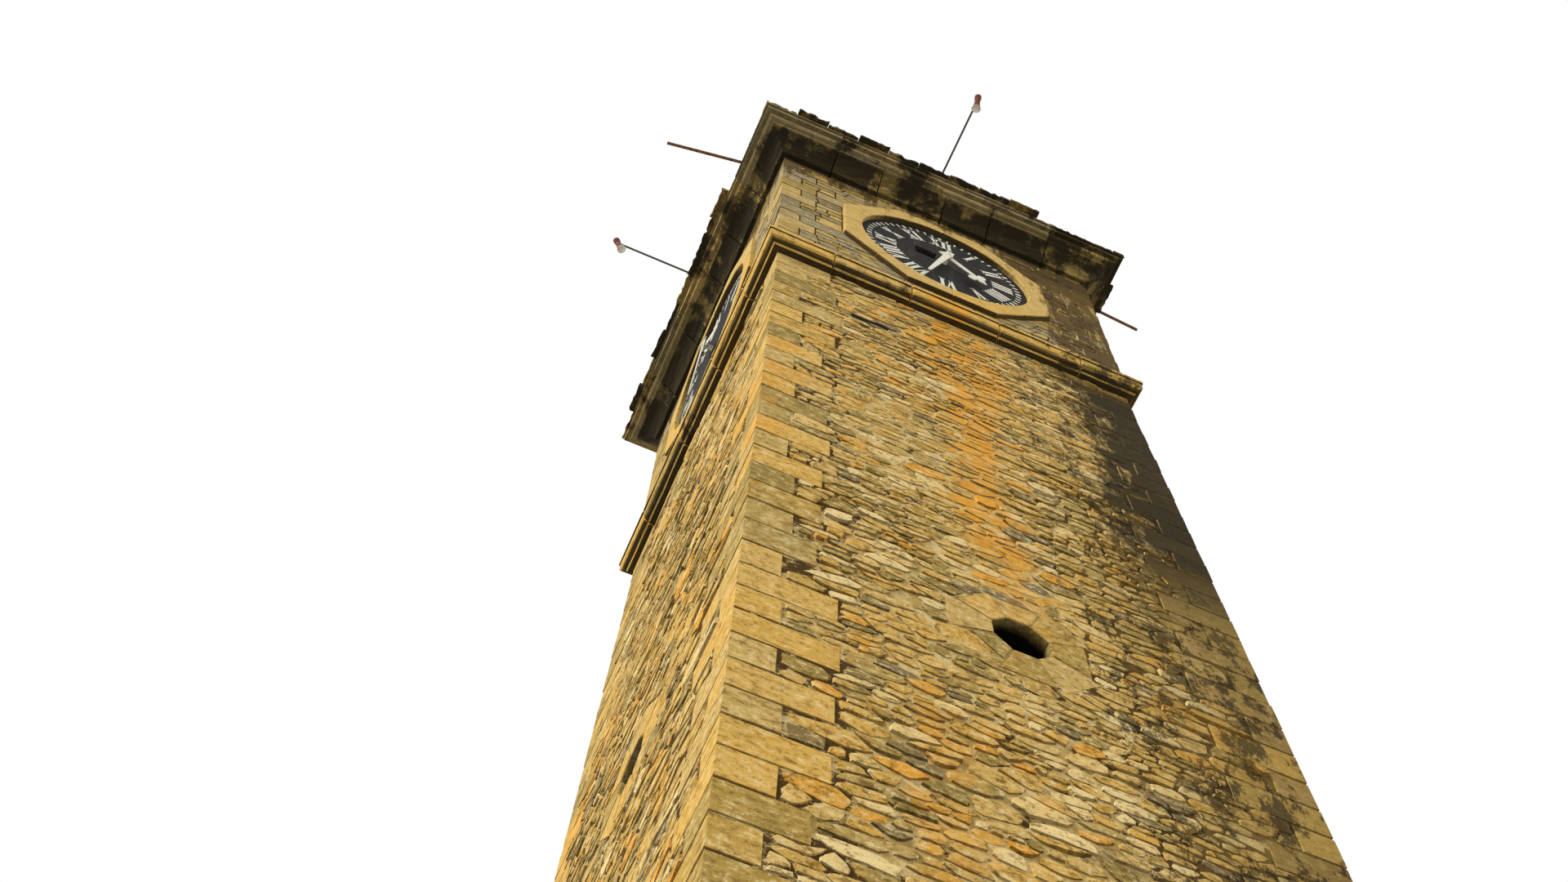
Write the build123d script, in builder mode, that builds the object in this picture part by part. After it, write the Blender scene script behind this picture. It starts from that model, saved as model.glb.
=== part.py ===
from build123d import *
import os

# A square stone clock tower with a hollow shaft, a clock stage with four dials and a moulded cornice.
# The origin is on the ground under the middle of the tower. The front faces -Y and the left side faces -X.

# Heights of the stages from the ground up, in millimetres
step_height = 450
plinth_upright = 1050
plinth_slope = 200
ground_storey = 3300
first_storey = 6500
second_storey = 8670
string_height = 320
clock_stage = 3580
bed_height = 385
moulding_height = 105
fascia_height = 120
roof_rise = 320

# Levels above the ground, each stage on the one below
step_top = step_height
plinth_slope_foot = step_top + plinth_upright
plinth_top = plinth_slope_foot + plinth_slope
first_floor = plinth_top + ground_storey
second_floor = first_floor + first_storey
shaft_top = second_floor + second_storey
string_top = shaft_top + string_height
clock_wall_top = string_top + clock_stage
bed_top = clock_wall_top + bed_height
moulding_top = bed_top + moulding_height
cornice_top = moulding_top + fascia_height
roof_peak = cornice_top + roof_rise

# Half widths of the square stages
step_half = 2850
plinth_half = 2620
shaft_top_half = 2150
clock_wall_half = shaft_top_half + 35
string_half = shaft_top_half + 175
bed_half = clock_wall_half + 284
moulding_half = bed_half + 91
cornice_half = moulding_half + 90

# The shaft's faces lean in by this much for each millimetre of height
batter = 0.0142

# Half widths of the hollow inside: the walls get thinner at each floor, and the ledge carries the floor
ground_well = 1250
first_well = 1350
second_well = 1450
clock_well = 1560

# Sections of the moulded courses: how far each edge lies back, and how much each curve bows
step_edge = 40
soffit_back = 100
soffit_rise = 30
string_curve_height = 95
string_bow = 17
string_face_back = 15
string_face_height = 115
string_fillet_height = 60
recess_out = 5
recess_height = 95
lip_out = 65
lip_height = 20
bed_bow = 23
bed_edge = 15
fillet_out = 18
fillet_height = 28
moulding_bow = 19
fascia_lip_out = 30
fascia_lip_height = 30

# Stone doorway in the front
door_width = 1100
door_spring = 1800
portal_width = 1700
portal_height = 2700
portal_projection = 80
portal_front = plinth_half + portal_projection
portal_slope = 150
door_set_back = 450
door_back = portal_front - door_set_back
door_thickness = 70

# Eight-sided windows, two in each face
low_window_rise = 1600
high_window_rise = 1575
window_heights = (first_floor + low_window_rise, second_floor + high_window_rise)
window_across = 480
window_stone_across = 1100

# Floors
floor_thickness = 120
flags_thickness = 50
hatch_size = 700
hatch_place = 800
floor_joint = 4
fit_gap = 5

# Clock faces: an eight-sided plate let into the wall behind a surround with a round opening
dial_rise = 1870
dial_height = string_top + dial_rise
surround_across = 2730
surround_projection = 65
surround_edge = 10
dial_opening_radius = 1125
dial_across = 2290
dial_thickness = 75
wall_opening_across = 2080
dial_hole_width = 292
dial_hole_height = 262
dial_hole_place = (-240, 147)
arbor_radius = 22
pipe_radius = 34
running_fit = 0.1
arbor_tail = 60
pipe_tail = 40

# Hands, drawn pointing up at twelve and then turned to the time
clock_hour = 4
clock_minute = 33
hour_hand_gap = 93
hour_hand_thickness = 12
minute_hand_gap = 120
minute_hand_thickness = 12
arbor_end = 20
minute_hand_length = 1030
minute_hand_width = 100
minute_tip_width = 44
minute_hub_radius = 62
hour_hand_length = 710
hour_stem_length = 440
hour_hand_width = 92
hour_stem_width = 66
hour_hub_radius = 70
lobe_height = 535
lobe_place = 88
lobe_radius = 58
leaf_height = 607
leaf_width = 104
tail_length = 120

# Coping slabs round the roof's edge
coping_thickness = 70
coping_depth = 170
coping_inner = cornice_half - coping_depth
coping_joint = 12
coping_overhangs = (10, 80, 50, 85, 50, 65, 75, 80, 100, 0, 0, 0)
roof_edge_height = 60
roof_flat = 100

# Lamp arms, one over each dial, and two plain bars near the front corners
arm_radius = 14
arm_tail = 10
arm_inner_end = coping_inner - arm_tail
arm_places = {"front": -100, "right": 0, "back": 0, "left": 0}
bracket_width = 80
bracket_depth = 120
bracket_height = 60
seat_gap = 0.3
lamp_out = 3750
lamp_sides = 24
lamp_length = 280
lamp_rim_radius = 60
lamp_neck_radius = 34
lamp_cap_radius = 46
lamp_cap_height = 35
lamp_dish_radius = 54
lamp_dish_depth = 25
lamp_tilt = 68
lamp_hold = 90
bar_width = 34
bar_inner_reach = 75
left_bar_place = 1742
left_bar_reach = 1120
left_bar_skew = 8.8
right_bar_place = 1790
right_bar_reach = 785
right_bar_skew = 2.8

SIDES = {"front": 0, "right": 90, "back": 180, "left": 270}
REACH = 2 * step_half


def shaft_half(height):
    """Half width of the leaning shaft at a height above the ground."""
    return shaft_top_half + batter * (shaft_top - height)


def save(part, name):
    """Label a finished piece and write it."""
    part.label = name
    export_step(part, f"parts/{name}.step")


def octagon(across, height):
    """Eight-sided outline at a height, flat side down."""
    with Locations((0, height)):
        RegularPolygon(across / 2, 8, major_radius=False, rotation=22.5)


def octagons(across):
    """Eight-sided outlines at the window heights."""
    for height in window_heights:
        octagon(across, height)


def doorway(mode=Mode.ADD):
    """Outline of the round-headed doorway."""
    with Locations((0, step_top)):
        Rectangle(door_width, door_spring, align=(Align.CENTER, Align.MIN), mode=mode)
    with Locations((0, step_top + door_spring)):
        Circle(door_width / 2, mode=mode)


def portal_block(mode=Mode.ADD):
    """Outline of the dressed stone round the doorway."""
    with Locations((0, step_top)):
        Rectangle(portal_width, portal_height, align=(Align.CENTER, Align.MIN), mode=mode)


def floor_panels(well):
    """Outline of a timber floor in four panels, with joints that run out from the corners of its hatch."""
    near = hatch_place - hatch_size / 2
    far = hatch_place + hatch_size / 2
    Rectangle(2 * (well - fit_gap), 2 * (well - fit_gap))
    with Locations((hatch_place, hatch_place)):
        Rectangle(hatch_size, hatch_size, mode=Mode.SUBTRACT)
    with Locations((near, 0)):
        Rectangle(floor_joint, 2 * well, mode=Mode.SUBTRACT)
    with Locations((near, near)):
        Rectangle(well, floor_joint, align=(Align.MIN, Align.CENTER), mode=Mode.SUBTRACT)
    with Locations((far, near)):
        Rectangle(floor_joint, well, align=(Align.CENTER, Align.MIN), mode=Mode.SUBTRACT)


def square_course(profile, well):
    """Stone course round the tower: one profile run both ways and kept where the two meet."""
    with BuildPart() as course:
        for plane, mode in ((Plane.XZ, Mode.ADD), (Plane.YZ, Mode.INTERSECT)):
            with BuildSketch(plane):
                with BuildLine():
                    profile()
                    mirror(about=Plane.YZ)
                make_face()
            extrude(amount=REACH, both=True, mode=mode)
        if well:
            with BuildSketch():
                Rectangle(2 * well, 2 * well)
            extrude(amount=roof_peak, mode=Mode.SUBTRACT)
    return course.part


os.makedirs("parts", exist_ok=True)

# Broad bottom step that the whole tower stands on
with BuildPart() as base_step:
    with BuildSketch():
        Rectangle(2 * step_half, 2 * step_half)
    extrude(amount=step_top)
    chamfer(base_step.faces().sort_by(Axis.Z)[-1].edges(), step_edge)
save(base_step.part, "base_step")


def plinth_profile():
    """Half section of the plinth: an upright face and a slope up to the foot of the shaft."""
    Line((0, step_top), (plinth_half, step_top))
    Line((plinth_half, step_top), (plinth_half, plinth_slope_foot))
    Line((plinth_half, plinth_slope_foot), (shaft_half(plinth_top), plinth_top))
    Line((shaft_half(plinth_top), plinth_top), (0, plinth_top))


# Plinth: a thick stone ring with a sloping top, open at the front for the doorway
with BuildPart() as plinth:
    add(square_course(plinth_profile, ground_well))
    with BuildSketch(Plane.XZ.offset(ground_well)):
        portal_block()
    extrude(amount=REACH, mode=Mode.SUBTRACT)
save(plinth.part, "plinth")

# Stone flags inside the ground stage
with BuildPart() as ground_floor:
    with BuildSketch(Plane.XY.offset(step_top)):
        Rectangle(2 * (ground_well - fit_gap), 2 * (ground_well - fit_gap))
    extrude(amount=flags_thickness)
save(ground_floor.part, "ground_floor")

# Doorway: dressed jambs and arch that line the wall's whole thickness
with BuildPart() as door_portal:
    with BuildSketch(Plane.XZ.offset(ground_well)):
        portal_block()
        doorway(Mode.SUBTRACT)
    extrude(amount=portal_front - ground_well)
    top_edges = door_portal.faces().sort_by(Axis.Z)[-1].edges()
    chamfer(top_edges.sort_by(Axis.Y)[0], portal_slope)
save(door_portal.part, "door_portal")

# Plank door, shut in its doorway
with BuildPart() as door_leaf:
    with BuildSketch(Plane.XZ.offset(door_back)):
        doorway()
    extrude(amount=door_thickness)
save(door_leaf.part, "door_leaf")

# The leaning front wall, whole, thinner at each floor, with its ends on the corner diagonals
with BuildPart() as whole_wall:
    with BuildSketch(Plane.YZ):
        Polygon(
            (-shaft_half(plinth_top), plinth_top),
            (-ground_well, plinth_top),
            (-ground_well, first_floor),
            (-first_well, first_floor),
            (-first_well, second_floor),
            (-second_well, second_floor),
            (-second_well, shaft_top),
            (-shaft_half(shaft_top), shaft_top),
            align=None,
        )
    extrude(amount=REACH, both=True)
    with BuildSketch():
        Polygon((0, 0), (-REACH, -REACH), (REACH, -REACH), align=None)
    extrude(amount=roof_peak, mode=Mode.INTERSECT)

# Shaft walls: one for each side, with pockets for the window stones
with BuildPart() as front_shaft:
    add(whole_wall.part)
    with BuildSketch(Plane.XZ):
        octagons(window_stone_across)
    extrude(amount=REACH, mode=Mode.SUBTRACT)

# Window stones: an eight-sided lining through the wall, flush with its leaning face
with BuildPart() as window_stones:
    add(whole_wall.part)
    with BuildSketch(Plane.XZ):
        octagons(window_stone_across)
    extrude(amount=REACH, mode=Mode.INTERSECT)
    with BuildSketch(Plane.XZ):
        octagons(window_across)
    extrude(amount=REACH, mode=Mode.SUBTRACT)

for side, turn in SIDES.items():
    with BuildPart() as shaft_wall:
        add(front_shaft.part, rotation=(0, 0, turn))
        if side == "front":
            with BuildSketch(Plane.XZ.offset(ground_well)):
                portal_block()
            extrude(amount=REACH, mode=Mode.SUBTRACT)
    save(shaft_wall.part, f"shaft_wall_{side}")

    with BuildPart() as window_surround:
        add(window_stones.part, rotation=(0, 0, turn))
    save(window_surround.part, f"window_surround_{side}")

# Timber floors on the wall ledges, each with a hatch
with BuildPart() as upper_floors:
    for level, well in ((first_floor, first_well), (second_floor, second_well)):
        with BuildSketch(Plane.XY.offset(level)):
            floor_panels(well)
        extrude(amount=floor_thickness)
save(upper_floors.part, "upper_floors")

with BuildPart() as clock_floor:
    with BuildSketch(Plane.XY.offset(shaft_top)):
        floor_panels(clock_well)
    extrude(amount=floor_thickness)
save(clock_floor.part, "clock_floor")


def string_profile():
    """Half section of the string course: flat soffit, bowed edge, face, fillet and sloping top."""
    face = string_half - string_face_back
    soffit_out = string_half - soffit_back
    soffit = (soffit_out + string_face_back, shaft_top + soffit_rise)
    curve_head = (face, shaft_top + soffit_rise + string_curve_height)
    fillet_foot = curve_head[1] + string_face_height
    fillet_head = fillet_foot + string_fillet_height
    Line((0, shaft_top), (soffit_out, shaft_top))
    Line((soffit_out, shaft_top), soffit)
    SagittaArc(soffit, curve_head, -string_bow)
    Line(curve_head, (face, fillet_foot))
    Line((face, fillet_foot), (string_half, fillet_foot))
    Line((string_half, fillet_foot), (string_half, fillet_head))
    Line((string_half, fillet_head), (clock_wall_half, string_top))
    Line((clock_wall_half, string_top), (0, string_top))


save(square_course(string_profile, clock_well), "string_course")

dial_back = clock_wall_half - dial_thickness

# Clock-stage walls, each with an eight-sided opening and a step in it that holds the dial
with BuildPart() as front_clock_wall:
    with BuildSketch(Plane.XY.offset(string_top)):
        Polygon(
            (-clock_wall_half, -clock_wall_half),
            (clock_wall_half, -clock_wall_half),
            (clock_well, -clock_well),
            (-clock_well, -clock_well),
            align=None,
        )
    extrude(amount=clock_stage)
    with BuildSketch(Plane.XZ):
        octagon(wall_opening_across, dial_height)
    extrude(amount=REACH, mode=Mode.SUBTRACT)
    with BuildSketch(Plane.XZ.offset(dial_back)):
        octagon(dial_across + 2 * fit_gap, dial_height)
    extrude(amount=REACH, mode=Mode.SUBTRACT)

# Eight-sided stone surround with a round opening, standing out from the wall
with BuildPart() as front_surround:
    with BuildSketch(Plane.XZ.offset(clock_wall_half)):
        octagon(surround_across, dial_height)
        with Locations((0, dial_height)):
            Circle(dial_opening_radius, mode=Mode.SUBTRACT)
    extrude(amount=surround_projection)
    front_face = front_surround.faces().sort_by(Axis.Y)[0]
    chamfer(front_face.outer_wire().edges(), surround_edge)

# Dial: an eight-sided plate flush with the wall, with a bore for the hour hand's pipe
with BuildPart() as front_dial:
    with BuildSketch(Plane.XZ.offset(dial_back)):
        octagon(dial_across, dial_height)
        with Locations((0, dial_height)):
            Circle(pipe_radius + running_fit, mode=Mode.SUBTRACT)
    extrude(amount=dial_thickness)

minute_turn = -360 * clock_minute / 60
hour_turn = -30 * (clock_hour + clock_minute / 60)

# Minute hand: a long tapering blade with a short tail, on the arbor that drives it
with BuildPart() as front_minute_hand:
    with BuildSketch(Plane.XZ.offset(clock_wall_half + minute_hand_gap)):
        Polygon(
            (-minute_hand_width / 2, -tail_length),
            (minute_hand_width / 2, -tail_length),
            (minute_tip_width / 2, minute_hand_length - minute_tip_width),
            (0, minute_hand_length),
            (-minute_tip_width / 2, minute_hand_length - minute_tip_width),
            align=None,
        )
        Circle(minute_hub_radius)
    extrude(amount=minute_hand_thickness)
    with BuildSketch(Plane.XZ.offset(dial_back - arbor_tail)):
        Circle(arbor_radius)
    extrude(amount=arbor_tail + dial_thickness + minute_hand_gap + minute_hand_thickness + arbor_end)

# Hour hand: a stem with two round lobes and a leaf-shaped point, on a pipe round the arbor
with BuildPart() as front_hour_hand:
    with BuildSketch(Plane.XZ.offset(clock_wall_half + hour_hand_gap)):
        Polygon(
            (-hour_hand_width / 2, -tail_length),
            (hour_hand_width / 2, -tail_length),
            (hour_stem_width / 2, hour_stem_length),
            (hour_stem_width / 2, leaf_height),
            (-hour_stem_width / 2, leaf_height),
            (-hour_stem_width / 2, hour_stem_length),
            align=None,
        )
        with Locations((-lobe_place, lobe_height), (lobe_place, lobe_height)):
            Circle(lobe_radius)
        with Locations((0, lobe_height)):
            Rectangle(2 * lobe_place, lobe_radius)
        Polygon(
            (0, lobe_height),
            (leaf_width / 2, leaf_height),
            (0, hour_hand_length),
            (-leaf_width / 2, leaf_height),
            align=None,
        )
        Circle(hour_hub_radius)
    extrude(amount=hour_hand_thickness)
    with BuildSketch(Plane.XZ.offset(dial_back - pipe_tail)):
        Circle(pipe_radius)
    extrude(amount=pipe_tail + dial_thickness + hour_hand_gap)
    with BuildSketch(Plane.XZ.offset(dial_back - pipe_tail)):
        Circle(arbor_radius + running_fit)
    extrude(amount=pipe_tail + dial_thickness + hour_hand_gap + hour_hand_thickness, mode=Mode.SUBTRACT)

for side, turn in SIDES.items():
    with BuildPart() as clock_wall:
        add(front_clock_wall.part, rotation=(0, 0, turn))
    save(clock_wall.part, f"clock_wall_{side}")

    with BuildPart() as clock_surround:
        add(front_surround.part, rotation=(0, 0, turn))
    save(clock_surround.part, f"clock_surround_{side}")

    with BuildPart() as dial:
        add(front_dial.part, rotation=(0, 0, turn))
        if side == "front":
            with BuildSketch(Plane.XZ.offset(dial_back)):
                with Locations((dial_hole_place[0], dial_height + dial_hole_place[1])):
                    Rectangle(dial_hole_width, dial_hole_height)
            extrude(amount=dial_thickness, mode=Mode.SUBTRACT)
    save(dial.part, f"dial_{side}")

    centre_line = Location((0, 0, dial_height))
    upright = Location((0, 0, 0), (0, 0, turn))
    with BuildPart() as minute_hand:
        with Locations(upright * centre_line * Location((0, 0, 0), (0, -minute_turn, 0))):
            add(front_minute_hand.part)
    save(minute_hand.part, f"minute_hand_{side}")

    with BuildPart() as hour_hand:
        with Locations(upright * centre_line * Location((0, 0, 0), (0, -hour_turn, 0))):
            add(front_hour_hand.part)
    save(hour_hand.part, f"hour_hand_{side}")


def bed_profile():
    """Half section of the cornice's bed course: a narrow recess, a soffit and a wide hollow face."""
    recess = clock_wall_half + recess_out
    recess_head = clock_wall_top + recess_height
    lip = clock_wall_half + lip_out
    lip_head = recess_head + lip_height
    face_head = bed_top - bed_edge
    Line((0, clock_wall_top), (recess, clock_wall_top))
    Line((recess, clock_wall_top), (recess, recess_head))
    Line((recess, recess_head), (lip, recess_head))
    Line((lip, recess_head), (lip, lip_head))
    SagittaArc((lip, lip_head), (bed_half, face_head), bed_bow)
    Line((bed_half, face_head), (bed_half, bed_top))
    Line((bed_half, bed_top), (0, bed_top))


save(square_course(bed_profile, clock_well), "cornice_bed")


def moulding_profile():
    """Half section of the middle cornice course: a thin fillet under a round moulding."""
    fillet = bed_half + fillet_out
    fillet_head = bed_top + fillet_height
    Line((0, bed_top), (fillet, bed_top))
    Line((fillet, bed_top), (fillet, fillet_head))
    SagittaArc((fillet, fillet_head), (moulding_half, moulding_top), -moulding_bow)
    Line((moulding_half, moulding_top), (0, moulding_top))


save(square_course(moulding_profile, clock_well), "cornice_moulding")


def fascia_profile():
    """Half section of the cornice's top course: an upright fascia with a thin lip."""
    fascia = cornice_half - fascia_lip_out
    lip_foot = cornice_top - fascia_lip_height
    Line((0, moulding_top), (fascia, moulding_top))
    Line((fascia, moulding_top), (fascia, lip_foot))
    Line((fascia, lip_foot), (cornice_half, lip_foot))
    Line((cornice_half, lip_foot), (cornice_half, cornice_top))
    Line((cornice_half, cornice_top), (0, cornice_top))


save(square_course(fascia_profile, clock_well), "cornice_fascia")


def roof_profile():
    """Half section of the roof: a low edge and a slope up to a small flat top."""
    roof_half = coping_inner - fit_gap
    Line((0, cornice_top), (roof_half, cornice_top))
    Line((roof_half, cornice_top), (roof_half, cornice_top + roof_edge_height))
    Line((roof_half, cornice_top + roof_edge_height), (roof_flat, roof_peak))
    Line((roof_flat, roof_peak), (0, roof_peak))


save(square_course(roof_profile, 0), "roof_slab")

# Coping slabs: rough slabs of unequal overhang, set in a row along each edge of the roof
coping_length = 2 * cornice_half / len(coping_overhangs)
with BuildPart() as coping_slabs:
    for turn in SIDES.values():
        with BuildSketch(Plane.XY.offset(cornice_top).rotated((0, 0, turn))):
            for index, overhang in enumerate(coping_overhangs):
                start = -cornice_half + index * coping_length
                depth = cornice_half + overhang - coping_inner
                length = coping_length - coping_joint
                if index == len(coping_overhangs) - 1:
                    length -= cornice_half - coping_inner
                with Locations((start, -coping_inner)):
                    Rectangle(length, depth, align=(Align.MIN, Align.MAX))
        extrude(amount=coping_thickness)
save(coping_slabs.part, "coping_slabs")

coping_top = cornice_top + coping_thickness
arm_height = coping_top + bracket_height / 2
bracket_middle = coping_inner + fit_gap + bracket_depth / 2
bar_seat = bar_width + 2 * seat_gap
bars = (
    (Location((-bracket_middle, -left_bar_place, arm_height), (0, 0, -left_bar_skew)), -left_bar_reach),
    (Location((bracket_middle, -right_bar_place, arm_height), (0, 0, right_bar_skew)), right_bar_reach),
)

# Brackets that hold the lamp arms and the bars down on the coping
with BuildPart() as arm_brackets:
    for side, turn in SIDES.items():
        upright = Location((0, 0, 0), (0, 0, turn))
        with Locations(upright * Location((arm_places[side], -bracket_middle, arm_height))):
            Box(bracket_width, bracket_depth, bracket_height)
            Cylinder(arm_radius + seat_gap, bracket_depth, rotation=(90, 0, 0), mode=Mode.SUBTRACT)
    for middle, reach in bars:
        with Locations(middle):
            Box(bracket_depth, bracket_width, bracket_height)
            Box(2 * bracket_depth, bar_seat, bar_seat, mode=Mode.SUBTRACT)
save(arm_brackets.part, "arm_brackets")

# Lamp: a many-sided waisted bell with a shallow dish in its mouth
with BuildPart() as lamp:
    for height, radius in (
        (0, lamp_cap_radius),
        (lamp_cap_height, lamp_cap_radius),
        (lamp_length / 2, lamp_neck_radius),
        (lamp_length, lamp_rim_radius),
    ):
        with BuildSketch(Plane.XY.offset(height)):
            RegularPolygon(radius, lamp_sides)
    loft(ruled=True)
    for depth, radius in ((0, lamp_dish_radius), (lamp_dish_depth, lamp_neck_radius)):
        with BuildSketch(Plane.XY.offset(lamp_length - depth)):
            RegularPolygon(radius, lamp_sides)
    loft(ruled=True, mode=Mode.SUBTRACT)

# The lamps hang from their arms' ends and point down and back at the dials
with BuildPart() as lamps:
    for side, turn in SIDES.items():
        upright = Location((0, 0, 0), (0, 0, turn))
        held = Location((arm_places[side], -lamp_out, arm_height), (-90 - lamp_tilt, 0, 0))
        with Locations(upright * held * Location((0, 0, -lamp_hold))):
            add(lamp.part)
save(lamps.part, "lamps")

# Lamp arms: straight iron rods, each cut at its end to fit the side of its lamp
with BuildPart() as lamp_arms:
    for side, turn in SIDES.items():
        with BuildSketch(Plane.XZ.rotated((0, 0, turn)).offset(arm_inner_end)):
            with Locations((arm_places[side], arm_height)):
                Circle(arm_radius)
        extrude(amount=lamp_out - arm_inner_end)
    add(lamps.part, mode=Mode.SUBTRACT)
save(lamp_arms.part, "lamp_arms")

# Plain square bars that run out over the left and right edges near the front
with BuildPart() as side_bars:
    for middle, reach in bars:
        inner = -bar_inner_reach if reach > 0 else bar_inner_reach
        with Locations(middle * Location(((reach + inner) / 2, 0, 0))):
            Box(abs(reach - inner), bar_width, bar_width)
save(side_bars.part, "side_bars")
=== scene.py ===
# %% [markdown]
# # Looks of a square stone clock tower
# The solids of the tower come from the shared frame in metres. This lesson lays the stones, joints,
# numerals and fittings over them, and gives every piece the colours and wear of old sandstone,
# black crust, paint and rust.

# %% Load the frame
import math
from itertools import pairwise

import bpy
import numpy as np
from mathutils import Matrix, Vector


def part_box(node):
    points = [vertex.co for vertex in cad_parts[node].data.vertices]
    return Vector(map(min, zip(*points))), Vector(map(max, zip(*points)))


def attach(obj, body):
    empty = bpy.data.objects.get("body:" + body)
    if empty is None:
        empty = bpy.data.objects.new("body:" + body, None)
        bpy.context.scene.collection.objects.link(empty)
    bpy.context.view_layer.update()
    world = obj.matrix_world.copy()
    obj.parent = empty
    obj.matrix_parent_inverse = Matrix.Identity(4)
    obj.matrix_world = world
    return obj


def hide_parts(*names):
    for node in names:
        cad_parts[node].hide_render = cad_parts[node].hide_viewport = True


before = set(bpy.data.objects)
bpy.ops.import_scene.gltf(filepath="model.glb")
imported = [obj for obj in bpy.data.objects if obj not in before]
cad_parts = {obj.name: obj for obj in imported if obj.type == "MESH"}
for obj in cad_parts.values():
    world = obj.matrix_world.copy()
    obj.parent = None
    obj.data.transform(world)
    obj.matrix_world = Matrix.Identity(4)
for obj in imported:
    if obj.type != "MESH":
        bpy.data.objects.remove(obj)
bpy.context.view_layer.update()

chance = np.random.default_rng
SIDES = {"front": 0, "right": 90, "back": 180, "left": 270}
print("nodes", len(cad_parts))

# %% [markdown]
# ## Sizes read from the frame
# The tower's faces lean in, so the half width of the shaft is a straight line between its foot and
# its head. The other places are read from the boxes of the solids, so the stones follow the frame.

# %% Read the main sizes
shaft_low, shaft_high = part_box("shaft_wall_back")
shaft_foot, shaft_head, shaft_foot_half = shaft_low.z, shaft_high.z, shaft_high.y
lean = 0.0142
clock_low, clock_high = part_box("clock_wall_back")
clock_foot, clock_head, clock_half = clock_low.z, clock_high.z, clock_high.y
surround_low, surround_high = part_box("clock_surround_back")
surround_face, surround_half = surround_high.y, surround_high.x
dial_height = (surround_low.z + surround_high.z) / 2
dial_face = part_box("dial_back")[1].y
opening_radius = 1.125
window_low, window_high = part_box("window_surround_back")
window_half, window_stone_half = 0.24, window_high.x
window_heights = (window_low.z + window_stone_half, window_high.z - window_stone_half)
print("shaft", shaft_foot, shaft_head, "half", shaft_foot_half, "windows", window_heights)


# %% Half width of the shaft
def shaft_half(z):
    """Half width at height z: half width at the foot - lean * (z - foot)."""
    return shaft_foot_half - lean * (z - shaft_foot)


# %% [markdown]
# ## Places on a face
# A stone is drawn as if its face were the front one: u runs to the right, out is the distance from
# the middle of the tower and z goes up. A turn about the upright axis carries it to its own side.


# %% Between places on a face and places in the frame
def place(turn, u, out, z):
    """x = u cos t + out sin t and y = u sin t - out cos t, for a face turned by t degrees."""
    t = np.radians(turn)
    u, out, z = np.broadcast_arrays(u, out, z)
    return np.stack([u * np.cos(t) + out * np.sin(t), u * np.sin(t) - out * np.cos(t), z], axis=-1)


def on_face(turn, points):
    """The way back: u = x cos t + y sin t and out = x sin t - y cos t."""
    t, x, y = np.radians(turn), points[..., 0], points[..., 1]
    return x * np.cos(t) + y * np.sin(t), x * np.sin(t) - y * np.cos(t)


# %% [markdown]
# ## Meshes from arrays
# Every new piece is one mesh made from whole arrays. A tower has thousands of stones of the same
# make, so the faces of one stone are listed once and repeated with a step in the numbers. Each
# stone also keeps a tone, a number from 0 to 1 that the material turns into its own shade.


# %% Make a piece from arrays
def new_object(name, data):
    """An object in the scene."""
    item = bpy.data.objects.new(name, data)
    bpy.context.scene.collection.objects.link(item)
    return item


def make_piece(name, parts, material, tones=None, replaces=None, smooth=False):
    """One object from parts (stones, faces): an array (count, ..., 3) of points and, as arrays of
    corner numbers, the faces of one stone, which all its like stones repeat.

    The volume is the sum over fans of a . (b x c) / 6; where it is negative the faces are turned
    outward. tones holds one number a stone.
    """
    points, faces, sizes = [], [], []
    for stones, stone_faces in parts:
        stones = stones.reshape(len(stones), -1, 3)
        first = sum(sizes) + np.arange(len(stones))[:, None, None] * stones.shape[1]
        faces += [(first + f).reshape(-1, f.shape[1]) for f in stone_faces]
        sizes += [stones.shape[1]] * len(stones)
        points.append(stones.reshape(-1, 3))
    points = np.concatenate(points)
    volume = 0.0
    for f in faces:
        for k in range(1, f.shape[1] - 1):
            a, b, c = points[f[:, 0]], points[f[:, k]], points[f[:, k + 1]]
            volume += np.einsum("ij,ij->", a, np.cross(b, c)) / 6
    if volume < 0:
        faces = [f[:, ::-1] for f in faces]
    mesh = bpy.data.meshes.new(name)
    mesh.from_pydata(points, [], [face for f in faces for face in f.tolist()])
    mesh.polygons.foreach_set("use_smooth", [smooth] * len(mesh.polygons))
    if tones is not None:
        layer = mesh.attributes.new("tone", "FLOAT", "POINT")
        layer.data.foreach_set("value", np.repeat(tones, sizes).astype(np.float32))
    mesh.materials.append(material)
    piece = new_object(name, mesh)
    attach(piece, "tower")
    if replaces:
        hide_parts(replaces)
    print(name, len(sizes), "stones or plates")


# %% Faces of one stone
def grid_quads(stations, rows, around):
    """Outward faces of a grid: stations run to the right, and rows run up or once round a ring."""
    i, j = np.meshgrid(np.arange(stations - 1), np.arange(rows if around else rows - 1),
                       indexing="ij")
    i, j = i.reshape(-1), j.reshape(-1)
    up = (j + 1) % rows
    return np.stack([i * rows + j, (i + 1) * rows + j, (i + 1) * rows + up, i * rows + up], axis=-1)


def shell_faces(stations, rows):
    """Closed faces of a stone that is a grid in front and flat behind, from the rim's points."""
    low = np.arange(stations) * rows
    high = low + rows - 1
    back = np.stack([low[1:-2], high[1:-2], high[2:-1], low[2:-1]], axis=-1)
    left = np.concatenate([np.arange(rows), [high[1], low[1]]])[None]
    right = np.concatenate([low[-1] + np.arange(rows)[::-1], [low[-2], high[-2]]])[None]
    return [grid_quads(stations, rows, False), back, left, right]


def bar_faces(stations, rows):
    """Closed faces of a bar: rings of points joined from station to station, and two end caps."""
    ring = np.arange(rows)
    return [grid_quads(stations, rows, True), ring[None], (stations - 1) * rows + ring[::-1][None]]


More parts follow.
